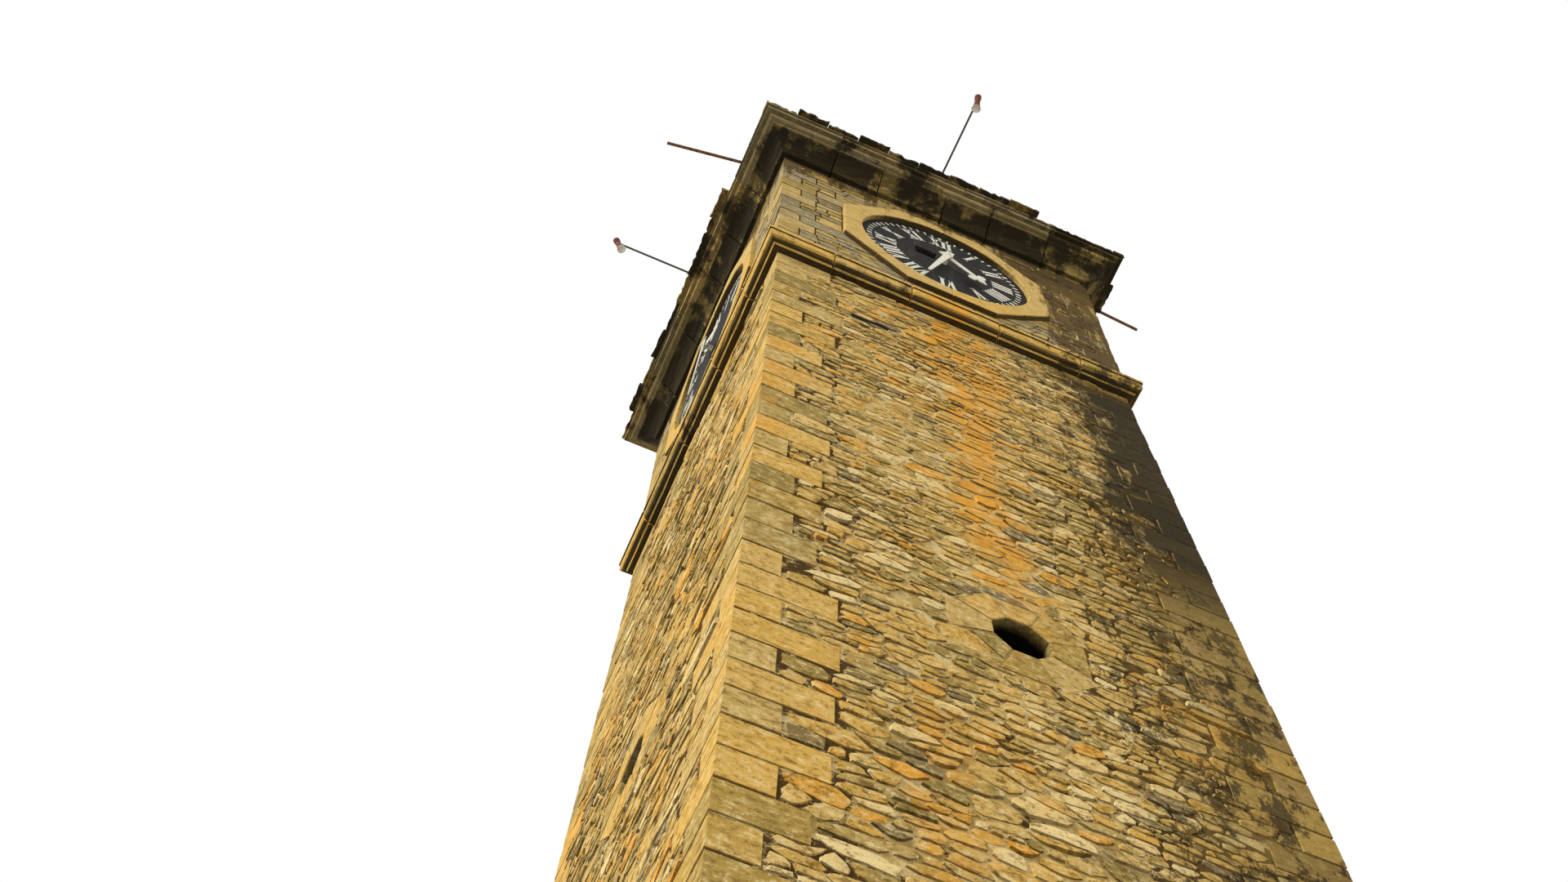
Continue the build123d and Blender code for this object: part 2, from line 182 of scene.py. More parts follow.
PILLOW_FACES = shell_faces(4, 4)
PLATE_FACES = [np.array([[3, 2, 1, 0], [4, 5, 6, 7], [0, 1, 5, 4], [1, 2, 6, 5], [2, 3, 7, 6],
                         [3, 0, 4, 7]])]


# %% [markdown]
# ## Materials
# Each material mixes a few plain colours by the stone's tone and by noise at the scale of grains,
# blotches and streaks. Object coordinates are metres in the frame, so a stain can be put where the
# water runs: under the string course, down to the window, and along the right-hand corner.


# %% Values in a node tree
class Value:
    """A number or colour in a node tree. Sums and products of values are values too."""

    def __init__(self, socket):
        self.socket, self.tree = socket, socket.id_data

    def math(self, operation, *others):
        """A math node that takes this value and the others."""
        inputs = dict(enumerate((self, *others)))
        return add(self.tree, "Math", inputs, operation=operation)

    def __add__(self, other):
        return self.math("ADD", other)

    def __mul__(self, other):
        return self.math("MULTIPLY", other)

    def __sub__(self, other):
        return self + other * -1.0


def add(tree, kind, inputs=(), output=0, **settings):
    """The output of a new node, with its inputs given as values to join or as plain numbers."""
    node = tree.nodes.new("ShaderNode" + kind)
    for key, value in settings.items():
        setattr(node, key, value)
    for key, value in dict(inputs).items():
        if isinstance(value, Value):
            tree.links.new(value.socket, node.inputs[key])
        else:
            node.inputs[key].default_value = value
    return Value(node.outputs[output])


# %% Places, noise and steps
def position(tree):
    """Object coordinates, which are metres in the frame."""
    return add(tree, "TexCoord", output="Object")


def axis_value(tree, axis):
    """One axis of the Object coordinates."""
    return add(tree, "SeparateXYZ", {0: position(tree)}, axis)


def facing(tree, axis):
    """One axis of the surface's outward direction."""
    normal = add(tree, "NewGeometry", output="Normal")
    return add(tree, "SeparateXYZ", {0: normal}, axis)


def noise(tree, scale, detail=4.0, rough=0.6, stretch=None, lift=0.0):
    """A noise value; stretch multiplies the axes, and lift changes the place it is read from."""
    at = position(tree)
    if stretch:
        at = add(tree, "VectorMath", {0: at, 1: stretch}, operation="MULTIPLY")
    if lift:
        at = add(tree, "VectorMath", {0: at, 1: (lift, lift, lift)}, operation="ADD")
    inputs = {"Vector": at, "Scale": scale, "Detail": detail, "Roughness": rough}
    return add(tree, "TexNoise", inputs)


def steps(value, low, high):
    """0 below low, 1 above high and a smooth rise between; low above high gives a fall."""
    inputs = {"Value": value, "From Min": low, "From Max": high}
    return add(value.tree, "MapRange", inputs, interpolation_type="SMOOTHSTEP")


def front_share(tree):
    """1 on a surface that looks towards the front, and 0 on the other sides."""
    return steps(facing(tree, 1), -0.3, -0.75)


# %% Colours
def colour(red, green, blue):
    """A display colour of 0 to 255 a channel as the linear colour that a shader takes."""
    share = np.array([red, green, blue]) / 255
    linear = np.where(share <= 0.04045, share / 12.92, ((share + 0.055) / 1.055) ** 2.4)
    return (*linear.tolist(), 1.0)


def blend(share, first, second):
    """Mix two colours by a share from 0 to 1."""
    return add(share.tree, "Mix", {0: share, 6: first, 7: second}, 2, data_type="RGBA")


def ramp(value, shades, low, high):
    """Colour by a value, through shades that stand at even places from low to high."""
    result = add(value.tree, "ValToRGB", {0: value})
    elements = result.socket.node.color_ramp.elements
    while len(elements) < len(shades):
        elements.new(0.5)
    for element, at, shade in zip(elements, np.linspace(low, high, len(shades)), shades):
        element.position, element.color = at, shade
    return result


OCHRE, TAN, CREAM = colour(212, 168, 80), colour(204, 170, 98), colour(238, 212, 148)
OLIVE, BROWN, PURPLE = colour(150, 128, 66), colour(104, 76, 32), colour(130, 112, 86)
ORANGE, LIME, GREY = colour(228, 158, 48), colour(230, 212, 160), colour(152, 140, 106)
# The deepest crust colour also paints shade under down-facing surfaces and in the uncut scaffold
# hole.
CRUST, DEEP_CRUST_AND_SHADE = colour(40, 33, 20), colour(20, 16, 9)
RUST = colour(112, 62, 28)


# %% Start and end of a material
def new_material(name, roughness):
    """A material with its node tree and its shader node; rough ones hardly mirror the sky."""
    material = bpy.data.materials.new(name)
    material.use_nodes = True
    shader = material.node_tree.nodes["Principled BSDF"]
    shader.inputs["Roughness"].default_value = roughness
    shader.inputs["Specular IOR Level"].default_value = 0.1 if roughness > 0.7 else 0.5
    return material, material.node_tree, shader


def surface(shader, shade, height, relief):
    """Give a shader its colour, and fine relief whose depth in metres is relief."""
    inputs = {"Height": height, "Distance": relief, "Strength": 1.0}
    bump = add(shade.tree, "Bump", inputs)
    shade.tree.links.new(shade.socket, shader.inputs["Base Color"])
    shade.tree.links.new(bump.socket, shader.inputs["Normal"])


def stone_tone(tree):
    """The tone of the stone, from 0 to 1."""
    return add(tree, "Attribute", output="Fac", attribute_name="tone")


# %% Stone material
damp_height = 2.2


def stone_material(name, shades, stain=False, crust=0.0, underside_shade=0.6, relief=0.006, tone_share=0.75,
                   flecks=0.5, recess_shade=False, runs=False):
    """Sandstone: shades by tone and blotch, flecks along its beds, streaks, crust, painted shade.

    shades are the colours from tone 0 to tone 1; crust from 0 to 1 says how much of the surface is
    blackened; underside_shade says how much painted shade darkens surfaces that face down; and
    recess_shade paints shade on what lies far behind the face of the shaft, in a window's reveal.
    """
    material, tree, shader = new_material(name, 0.92)
    tone, blotch = stone_tone(tree), noise(tree, 2.3, 5.0, 0.65)
    base = ramp(tone * tone_share + blotch * (1.0 - tone_share), shades, 0.06, 0.94)
    fine = noise(tree, 90.0, 3.0, 0.7)
    coarse = noise(tree, 17.0, 6.0, 0.7, lift=3.1)
    beds = noise(tree, 7.0, 6.0, 0.75, (1.0, 1.0, 3.0), 1.7)
    for pattern, low, high, share, shade in (
            (beds, 0.52, 0.62, flecks, BROWN), (beds, 0.47, 0.36, flecks, CREAM),
            (coarse, 0.52, 0.66, flecks, BROWN), (coarse, 0.46, 0.34, flecks, LIME),
            (fine, 0.60, 0.70, 0.5, BROWN)):
        base = blend(steps(pattern, low, high) * share, base, shade)
    if stain:
        base = front_stains(tree, base, tone)
    damp = steps(axis_value(tree, 2), damp_height, 0.0) * steps(blotch, 0.34, 0.58) * 0.6
    base = blend(damp, base, blend(coarse, BROWN, GREY))
    if runs:
        base = stage_streaks(tree, base)
    if crust:
        cover = noise(tree, 1.7, 6.0, 0.72, (1.0, 1.0, 0.55), 7.7) + (tone - 0.5) * 0.22
        cover = steps(cover, 0.72 - 0.42 * crust, 0.86 - 0.42 * crust)
        base = blend(cover * 0.93, base, blend(coarse, DEEP_CRUST_AND_SHADE, CRUST))
    # Painted shade on surfaces that face down, such as soffits and the undersides of mouldings.
    base = blend(steps(facing(tree, 2), -0.25, -0.8) * underside_shade, base, DEEP_CRUST_AND_SHADE)
    # Painted shade in the reveals: the stone darkens from the face of the shaft to nearly black 12
    # cm behind it.
    if recess_shade:
        base = blend(behind_face(tree, 0.0, 0.12), base, colour(5, 3, 2))
    surface(shader, base, fine * 0.2 + coarse * 0.5 + beds * 0.3, relief)
    return material


def behind_face(tree, near, far):
    """Share from 0 to 1 by how deep a place lies behind the face: half(z) - max(|x|, |y|)."""
    x, y, z = (axis_value(tree, axis) for axis in range(3))
    most = x.math("ABSOLUTE").math("MAXIMUM", y.math("ABSOLUTE"))
    return steps(z * -lean + shaft_half(0.0) - most, near, far)


# %% Stains of the front face
orange_foot, orange_head = (12.4, 15.5), (20.6, 21.2)
grime_head = (15.0, 19.0)
crust_foot, crust_head = (13.4, 16.2), (19.95, 20.25)
spots_head = (4.0, 10.0)


def front_stains(tree, base, tone):
    """Orange streak down the middle of the front face, and black crust towards its right corner.

    Whole stones take the orange, by their tone, and the crust is broken up by noise; it stops under
    the string course, which keeps the topmost stones dry and pale.
    """
    x, z, front = axis_value(tree, 0), axis_value(tree, 2), front_share(tree)
    rusty = noise(tree, 0.8, 4.0, 0.7, (1.0, 1.0, 0.45), 11.3) + (tone - 0.5) * 0.16
    base = blend(steps(rusty, 0.60, 0.68) * 0.4, base, ORANGE)
    wander = noise(tree, 0.9, 4.0, 0.6, (2.4, 1.0, 0.5), 4.4) - 0.5
    drip = noise(tree, 2.2, 6.0, 0.75, (2.0, 1.0, 0.9), 9.1)
    stone = (tone - 0.5) * 0.45
    shifted = x + wander * 1.1
    middle = steps(shifted + stone, -0.36, -0.18) * steps(shifted - stone, 0.38, 0.12)
    orange = front * middle * steps(z, *orange_foot) * steps(z, *orange_head[::-1])
    base = blend(orange * steps(drip, 0.36, 0.54) * 0.8, base, ORANGE)
    edge = x + (drip - 0.5) * 2.4 + wander * 0.6 + stone * 0.9
    grime = front * steps(edge, 0.3, 1.9) * steps(z, *grime_head[::-1]) * 0.62
    base = blend(grime, base, blend(tone, BROWN, OLIVE))
    black = steps(edge, 1.10, 1.55) * (steps(z, *crust_foot) * steps(z, *crust_head[::-1]))
    spots = noise(tree, 2.6, 6.0, 0.8, (1.4, 1.0, 0.9), 13.7) + steps(x, -0.2, 1.9) * 0.10
    patchy = steps(spots, 0.58, 0.65) * steps(x, -0.3, 0.9) * steps(z, *spots_head) * 0.85
    black = front * black.math("MAXIMUM", patchy)
    return blend(black * 0.93, base, blend(tone, DEEP_CRUST_AND_SHADE, CRUST))


# %% Streaks under the cornice
def stage_streaks(tree, base):
    """Black and brown streaks that run down from the cornice, most on the front's right."""
    x, z = axis_value(tree, 0), axis_value(tree, 2)
    runs = noise(tree, 1.0, 6.0, 0.7, (4.5, 4.5, 0.8), 6.3)
    spots = noise(tree, 5.0, 5.0, 0.75, lift=8.8)
    right = front_share(tree) * steps(x, 0.75, 1.7) * 0.32
    share = steps(runs + spots * 0.4 + steps(z, 22.9, 24.4) * 0.34 + right, 0.84, 0.98)
    return blend(share * 0.88, base, blend(spots, DEEP_CRUST_AND_SHADE, BROWN))


# %% Make the stone materials
rubble_shades = (PURPLE, OLIVE, OCHRE, TAN, OCHRE, CREAM, OCHRE, TAN, OLIVE, OCHRE, ORANGE)
rubble = stone_material("rubble_stone", rubble_shades, stain=True, relief=0.025, tone_share=0.85,
                        flecks=0.72)
quoin_stone = stone_material("quoin_stone", (OLIVE, TAN, OLIVE, OCHRE, TAN), stain=True,
                             relief=0.016, flecks=0.55, recess_shade=True)
coursed = stone_material("coursed_stone", (OLIVE, GREY, TAN, OLIVE, TAN, GREY, BROWN),
                         relief=0.010, flecks=0.32, runs=True)
surround_stone = stone_material("surround_stone", (OCHRE, TAN, TAN, TAN), underside_shade=0.92, relief=0.005,
                                flecks=0.22, runs=True)
string_stone = stone_material("string_stone", (OLIVE, OCHRE, OCHRE, TAN), stain=True, crust=0.25,
                              underside_shade=0.95, relief=0.008, flecks=0.35)
cornice_stone = stone_material("cornice_stone", (BROWN, OLIVE, TAN, BROWN), crust=0.9, underside_shade=0.72,
                               relief=0.012, flecks=0.35)
fillet_stone = stone_material("fillet_stone", (OLIVE, GREY, TAN, OLIVE), crust=0.62, underside_shade=0.7,
                              relief=0.008, flecks=0.3)
coping_stone = stone_material("coping_stone", (BROWN, OLIVE, BROWN), crust=0.85, underside_shade=0.5,
                              relief=0.012, flecks=0.35)
plinth_stone = stone_material("plinth_stone", (OLIVE, TAN, OLIVE, GREY), crust=0.2, relief=0.008,
                              flecks=0.4)
roof_stone = stone_material("roof_stone", (GREY, OLIVE, GREY), crust=0.45, relief=0.008, flecks=0.4)
floor_flags = stone_material("floor_flags", (GREY, TAN, GREY), crust=0.1, relief=0.004, flecks=0.3)

# %% [markdown]
# ## Mortar
# The solid walls stand behind the stones, so what shows of them is the bed of the joints: pale lime
# where it has been pointed again and dark, washed-out sand where it hasn't.

# %% Mortar material
slot_place, slot_reach, slot_height = (-1.07, 19.06), 0.20, 0.05
side_fade, edge_fade = 0.06, 0.04


def mortar_material(name, pale_share):
    """Lime, sand and dark washed-out beds in patches; pale_share says how much stays pale.

    High on the front one scaffold hole was left open. It isn't cut in the wall: painted shade
    stands for its dark inside at slot_place.
    """
    material, tree, shader = new_material(name, 0.97)
    x, z = axis_value(tree, 0), axis_value(tree, 2)
    patch = noise(tree, 2.4, 6.0, 0.8, (1.0, 1.0, 1.8))
    # Towards larger x and lower down more of the mortar turns dark: washed-out beds, and painted
    # shade in the joints.
    patch = patch + steps(x, 0.1, 1.1) * steps(z, 18.5, 15.5) * -0.13
    patch = patch + steps(x, -1.2, -1.5) * -0.08
    grit = noise(tree, 60.0, 5.0, 0.75)
    cloud = noise(tree, 6.0, 4.0, 0.7, lift=2.2)
    pale = blend(steps(cloud, 0.4, 0.6), blend(grit, OLIVE, TAN), blend(grit, TAN, LIME))
    share = steps(patch, 0.66 - 0.3 * pale_share, 0.72 - 0.3 * pale_share)
    base = front_stains(tree, blend(share, blend(grit, DEEP_CRUST_AND_SHADE, BROWN), pale), cloud)
    # Painted shade in the openings: mortar 6 to 30 cm behind the face of the shaft darkens to
    # nearly black.
    base = blend(behind_face(tree, 0.06, 0.30), base, colour(9, 6, 3))
    aside, above = ((axis - middle).math("ABSOLUTE") for axis, middle in zip((x, z), slot_place))
    # Painted shade: the dark inside of the uncut scaffold hole.
    slot = steps(aside, slot_reach + side_fade, slot_reach) * front_share(tree)
    slot = slot * steps(above, slot_height + edge_fade, slot_height)
    surface(shader, blend(slot, base, DEEP_CRUST_AND_SHADE), grit, 0.010)
    return material


lime_mortar = mortar_material("lime_mortar", 0.85)
dark_mortar = mortar_material("dark_mortar", 0.6)


# %% [markdown]
# ## Paint, iron and timber
# Paint wears through at edges and gathers rust, iron bars are brown all over, and door planks keep
# their grain.


# %% Paint material
def paint_material(name, fresh, worn, wear=0.3, roughness=0.5, scale=24.0):
    """Paint that gives way to another colour in patches; wear from 0 to 1 says how much."""
    material, tree, shader = new_material(name, roughness)
    fine = noise(tree, 140.0, 3.0, 0.7, lift=2.0)
    share = steps(noise(tree, scale, 6.0, 0.75), 0.72 - 0.35 * wear, 0.80 - 0.35 * wear)
    dusty = blend(fine * 0.25, fresh, GREY)
    surface(shader, blend(share, dusty, worn), share * -0.6 + fine * 0.4, 0.0015)
    return material


black_iron = paint_material("black_iron", colour(24, 23, 22), RUST, 0.28)
lamp_paint = paint_material("lamp_paint", colour(104, 42, 28), colour(60, 30, 20), 0.5, 0.72)
brown_iron = paint_material("brown_iron", colour(104, 62, 40), colour(66, 38, 24), 0.6, 0.8)
hand_paint = paint_material("hand_paint", colour(226, 224, 204), colour(150, 140, 108), 0.2, 0.55)
numeral_paint = paint_material("numeral_paint", colour(222, 220, 200), colour(128, 122, 96), 0.32,
                               0.6, 14.0)
lamp_white = paint_material("lamp_white", colour(214, 214, 206), colour(150, 140, 116), 0.35, 0.6)
iron_strap = paint_material("iron_strap", colour(34, 31, 28), RUST, 0.5, 0.65)

# %% Charcoal of the dials: brown dirt that runs down, and pale dust
dial_charcoal, tree, shader = new_material("dial_charcoal", 0.75)
runs = noise(tree, 1.0, 6.0, 0.7, (9.0, 9.0, 1.1))
clouds = noise(tree, 3.0, 5.0, 0.6, lift=5.0)
base = blend(clouds, colour(26, 26, 26), colour(44, 42, 38))
base = blend(steps(runs, 0.5, 0.75), base, colour(66, 58, 42))
base = blend(steps(runs, 0.45, 0.25) * 0.5, base, colour(38, 36, 34))
surface(shader, base, clouds, 0.002)

# %% Timber of the door: long grain up the plank, and grey weathering
door_timber, tree, shader = new_material("door_timber", 0.75)
grain = noise(tree, 5.0, 8.0, 0.7, (14.0, 14.0, 0.8))
base = blend(steps(grain, 0.3, 0.7), colour(84, 58, 34), colour(122, 90, 56))
base = blend(stone_tone(tree) * 0.35, base, colour(136, 124, 104))
surface(shader, base, grain, 0.003)


# %% Give the solids their materials
def dress(node, material):
    """Give a solid one material in all its slots."""
    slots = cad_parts[node].data.materials
    slots.clear()
    slots.append(material)


for node, material in {
    "shaft_wall": lime_mortar, "clock_wall": dark_mortar, "window_surround": quoin_stone,
    "clock_surround": surround_stone, "dial": dial_charcoal, "minute_hand": hand_paint,
    "hour_hand": hand_paint,
}.items():
    for side in SIDES:
        dress(f"{node}_{side}", material)
for node, material in {
    "base_step": plinth_stone, "plinth": dark_mortar, "ground_floor": floor_flags,
    "door_portal": quoin_stone, "door_leaf": door_timber, "upper_floors": door_timber,
    "clock_floor": door_timber, "string_course": string_stone, "cornice_bed": cornice_stone,
    "cornice_moulding": fillet_stone, "cornice_fascia": cornice_stone, "roof_slab": roof_stone,
    "coping_slabs": coping_stone, "arm_brackets": black_iron, "lamp_arms": black_iron,
    "lamps": lamp_paint, "side_bars": brown_iron,
}.items():
    dress(node, material)


# %% [markdown]
# ## Squared stones
# A squared stone is a pillow: a grid of four by four points whose rim is sunk in the mortar and
# whose middle stands proud. The same pillow serves for the clock stage, the plinth, the doorway and
# the stones round the windows.

# %% Pillow stones
SINK, widest_inset, least_proud = 0.006, 0.3, 0.001


def pillow_points(turn, corners, half, rng, proud, inset, ragged):
    """Points of pillows from corners (n, 4, 2): low left, low right, high right, high left.

    P(s, t) = (1-s)(1-t) A + s(1-t) B + st C + (1-s)t D with s and t at 0, inset/size, 1 -
    inset/size and 1. The rim is sunk and the inner points stand proud, each moved up to ragged.
    """
    width = np.linalg.norm(corners[:, 1] - corners[:, 0], axis=1)
    height = np.linalg.norm(corners[:, 3] - corners[:, 0], axis=1)
    a, b = (np.minimum(inset / size, widest_inset) for size in (width, height))
    s = np.stack([0 * a, a, 1 - a, 1 + 0 * a], axis=1)[:, :, None, None]
    t = np.stack([0 * b, b, 1 - b, 1 + 0 * b], axis=1)[:, None, :, None]
    low_left, low_right, high_right, high_left = np.moveaxis(corners, 1, 0)[:, :, None, None]
    flat = ((1 - s) * (1 - t) * low_left + s * (1 - t) * low_right + s * t * high_right
            + (1 - s) * t * high_left)
    flat = flat + rng.uniform(-ragged, ragged, flat.shape)
    rise = np.full(flat.shape[:3], -SINK)
    inner = rng.uniform(-0.25, 0.25, (len(corners), 2, 2)) * inset
    rise[:, 1:3, 1:3] = np.maximum(np.reshape(proud, (-1, 1, 1)) + inner, least_proud)
    u, z = flat[..., 0], flat[..., 1]
    return place(turn, u, half(z) + rise, z)


# %% Cut a run into lengths
def cuts(start, end, shortest, longest, rng):
    """Joint places from start to end: lengths of shortest to longest, scaled to fill the run."""
    lengths = []
    while sum(lengths) < end - start:
        lengths.append(rng.uniform(shortest, longest))
    if len(lengths) > 1 and rng.uniform() < 0.5:
        lengths.pop()
    places = np.concatenate([[0], np.cumsum(lengths)])
    return start + places * (end - start) / places[-1]


# %% Fill a lift with cells of layers
most_slant, shortest_run = 0.12, 0.05


def lay_lift(z0, z1, left, right, rng, cell, layers, lengths, joint=0.0, uneven=0.1):
    """Corners of the stones between heights z0 and z1, from left(z) to right(z).

    cell is the shortest and longest cell, layers the chances of 1, 2 or more layers, lengths the
    stone lengths as multiples of the layer's height, and uneven how much the layers differ.
    """
    stones = []
    ends = cuts(left((z0 + z1) / 2), right((z0 + z1) / 2), *cell, rng)
    for k in range(len(ends) - 1):
        count = 1 + rng.choice(len(layers), p=layers)
        marks = np.linspace(0, 1, count + 1)
        marks[1:-1] += rng.uniform(-uneven, uneven, count - 1) / count
        for low, high in pairwise(z0 + (z1 - z0) * marks):
            tall = high - low
            begin = [left(low), left(high)] if k == 0 else [ends[k]] * 2
            finish = [right(low), right(high)] if k == len(ends) - 2 else [ends[k + 1]] * 2
            share = cuts(0.0, finish[0] - begin[0], lengths[0] * tall, lengths[1] * tall, rng)
            share = share / max(share[-1], 1e-6)
            slant = rng.uniform(-most_slant, most_slant, len(share)) * tall
            slant[[0, -1]] = 0.0
            lows = begin[0] + share * (finish[0] - begin[0]) + slant
            highs = begin[1] + share * (finish[1] - begin[1]) - slant
            for n in range(len(share) - 1):
                stones.append([(lows[n] + joint, low + joint), (lows[n + 1] - joint, low + joint),
                               (highs[n + 1] - joint, high - joint),
                               (highs[n] + joint, high - joint)])
    return stones


def lay_courses(levels, half, reach, hole, seam, rng, **lift):
    """Stones of a face in level courses between its corner stones.

    Where hole(z) is above zero they lie on both sides of a hole that is hole(z) + seam wide at each
    side of the middle.
    """
    stones = []
    for level, (z0, z1) in enumerate(pairwise(levels)):
        left, right = (lambda z: -half + reach(level, 0)), (lambda z: half - reach(level, 1))
        runs = [(left, right)]
        if hole((z0 + z1) / 2) > 0:
            runs = [(left, lambda z: -(hole(z) + seam)), (lambda z: hole(z) + seam, right)]
        for first, last in runs:
            if last((z0 + z1) / 2) - first((z0 + z1) / 2) > shortest_run:
                stones += lay_lift(z0, z1, first, last, rng, **lift)
    return np.array(stones)


# %% Levels of the corner stones
def levels_between(marks, height):
    """Heights that pass through all the marks, with about the same height between each two."""
    parts = [np.linspace(low, high, max(1, round((high - low) / height)) + 1)[:-1]
             for low, high in pairwise(marks)]
    return np.concatenate(parts + [[marks[-1]]])


window_marks = [z + sign * window_stone_half for z in window_heights for sign in (-1, 1)]
shaft_levels = levels_between([shaft_foot, *window_marks, shaft_head], 0.345)
short_corner, long_corner = 0.36, 0.70
uneven_corner = chance(4).uniform(0.80, 1.12, (len(shaft_levels) + 1, 2))
print("corner stones a corner", len(shaft_levels) - 1)


# %% [markdown]
# ## Rubble of the shaft
# The rubble is thin flat field stone, laid roughly in courses and brought level at each corner
# stone. Each stone is the part of the wall nearest to its own middle, measured with lengths along
# the wall shortened, which gives long flat cells with slanting ends as a mason's choice of stones
# does. Its face is a low tilted pillow of its own.


# %% Outline of the openings in a face
def octagon_half(z, centre, half):
    """Half width at height z of an eight-sided outline, or 0 above and below it."""
    rise = np.abs(z - centre)
    return np.where(rise > half, 0.0, np.minimum(half, half * math.sqrt(2) - rise))


def beyond_window(u, rise, reaches):
    """How far a place lies beyond the eight window stones: up, up and right, right and so on."""
    sector = np.round(np.arctan2(u, rise) / (math.pi / 4)).astype(int) % 8
    way = sector * math.pi / 4
    return u * np.sin(way) + rise * np.cos(way) - reaches[sector]


def corner_reach(level, at_right):
    """Length of a level's corner stone on a face: long and short by turns, and so at the right."""
    length = np.where((np.asarray(level) + at_right) % 2 == 1, long_corner, short_corner)
    return length * uneven_corner[level, at_right]


portal_low, portal_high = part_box("door_portal")
door_half, door_top = portal_high.x, portal_high.z
rng = chance(3)
window_reaches = {side: rng.uniform(window_stone_half - 0.07, window_stone_half + 0.10, (2, 8))
                  for side in SIDES}
window_reaches["front"][1] = (0.50, 0.62, 0.56, 0.64, 0.60, 0.47, 0.63, 0.55)


def in_rubble(u, z, side, margin):
    """True where a place is clear of corner stones, window stones, the doorway and the slot."""
    level = np.clip(np.searchsorted(shaft_levels, z) - 1, 0, len(shaft_levels) - 2)
    clear = u > -shaft_half(z) + corner_reach(level, 0) + margin
    clear &= u < shaft_half(z) - corner_reach(level, 1) - margin
    clear &= (z > shaft_foot + margin) & (z < shaft_head - margin)
    for centre, reaches in zip(window_heights, window_reaches[side]):
        clear &= beyond_window(u, z - centre, reaches) > margin
    if side == "front":
        clear &= (np.abs(u) > door_half + margin) | (z > door_top + margin)
        clear &= ((np.abs(u - slot_place[0]) > slot_reach + margin)
                  | (np.abs(z - slot_place[1]) > slot_height + margin))
    return clear


# %% Cells round the stones' middles
spokes, stretch, near = 12, 0.42, 20
longest_arm, tries = 0.22, 24
rough_face, shoulder_drop, least_rise = 0.0022, 0.0025, 0.0015


def cell_arms(sites, inside, joint, rng):
    """Arms (n, spokes, 2) from each site out to the edge of its cell.

    With u shortened by stretch, the edge towards a neighbour at d crosses a direction e at
    |d|^2 / (2 d . e), and the nearest crossing ends the arm. Each edge is drawn in by half a joint.
    An arm also stops where it would leave the rubble's area.
    """
    apart = sites[None] - sites[:, None]
    square = ((apart * (stretch, 1.0)) ** 2).sum(axis=-1)
    np.fill_diagonal(square, np.inf)
    nearest = np.argpartition(square, near, axis=1)[:, :near]
    apart = np.take_along_axis(apart, nearest[..., None], axis=1)
    square = np.take_along_axis(square, nearest, axis=1)
    drawn_in = 1 - joint[:, None] / np.linalg.norm(apart, axis=-1)
    angle = np.linspace(0, 2 * np.pi, spokes, endpoint=False)
    angle = angle + rng.uniform(-0.2, 0.2, (len(sites), spokes))
    way = np.stack([np.cos(angle), np.sin(angle)], axis=-1)
    along = np.einsum("njc,nkc->nkj", apart * (stretch, 1.0), way)
    crossing = (square * drawn_in)[:, None, :] / (2 * np.maximum(along, 1e-4))
    reach = np.minimum(np.where(along > 1e-4, crossing, 9.0).min(axis=-1), longest_arm)
    arms = way * reach[..., None] / (stretch, 1.0)
    share = np.arange(1, tries + 1) / tries
    tried = sites[:, None, None, :] + arms[:, :, None, :] * share[:, None]
    kept = np.cumprod(inside(tried[..., 0], tried[..., 1]), axis=-1).sum(axis=-1) / tries
    return arms * (kept * rng.uniform(0.90, 1.0, kept.shape))[..., None]


def cell_points(turn, sites, arms, inset, proud, tilt, half, rng):
    """Points of cell stones: sunk rim, shoulder an inset further in, ring half way in, middle.

    Over the face the height is proud + tilt . (place - site), with a few millimetres of chance.
    """
    long = np.linalg.norm(arms, axis=-1)
    shoulder = np.maximum(1 - inset[:, None] / np.maximum(long, 1e-4), 0.45)
    scale = np.stack([np.ones_like(long), shoulder, 0.5 * shoulder, 0 * long], axis=1)
    flat = sites[:, None, None, :] + arms[:, None] * scale[..., None]
    lift = ((flat - sites[:, None, None, :]) * tilt[:, None, None, :]).sum(axis=-1)
    rise = proud[:, None, None] + lift + rng.uniform(-rough_face, rough_face, lift.shape)
    rise = np.maximum(rise - np.array([0, shoulder_drop, 0, 0])[:, None], least_rise)
    rise[:, 0] = -SINK
    u, z = flat[..., 0], flat[..., 1]
    points = place(turn, u, half(z) + rise, z)
    rings = points[:, :3].reshape(len(sites), -1, 3)
    return np.concatenate([rings, points[:, 3, :1]], axis=1)


def cell_faces():
    """Closed faces of a cell stone: two bands of quads, a fan at the middle and a flat back."""
    i = np.arange(spokes)
    j = (i + 1) % spokes
    bands = [np.stack([k + i, k + j, k + spokes + j, k + spokes + i], axis=-1)
             for k in (0, spokes)]
    fan = np.stack([2 * spokes + i, 2 * spokes + j, 3 * spokes + 0 * i], axis=-1)
    return bands + [fan, i[None, ::-1]]


# %% Wavering courses and standing stones
fade_length, window_calm = 0.3, 0.72


def wave(points, turn):
    """Points moved up and down by 20 mm sin(2.1u + 5.3z) + 11 mm sin(4.7u - 8.3z + 1).

    The move fades out towards the corner stones, window stones, plinth and string course.
    """
    u, z = on_face(turn, points)[0], points[..., 2]
    fade = 1.0
    for room in (shaft_half(z) - long_corner - 0.02 - np.abs(u), z - shaft_foot, shaft_head - z,
                 *(np.hypot(u, z - centre) - window_calm for centre in window_heights)):
        fade = fade * np.clip(room / fade_length, 0, 1)
    waved = points.copy()
    waves = 0.020 * np.sin(2.1 * u + 5.3 * z) + 0.011 * np.sin(4.7 * u - 8.3 * z + 1)
    waved[..., 2] = z + fade * waves
    return waved


def standing(u, z):
    """Share from 0 to 1 by which stones stand out, flush in some patches and deep in others."""
    return 0.5 + 0.25 * np.sin(1.9 * u + 0.8 * z) + 0.25 * np.sin(1.3 * u - 1.7 * z + 2.0)


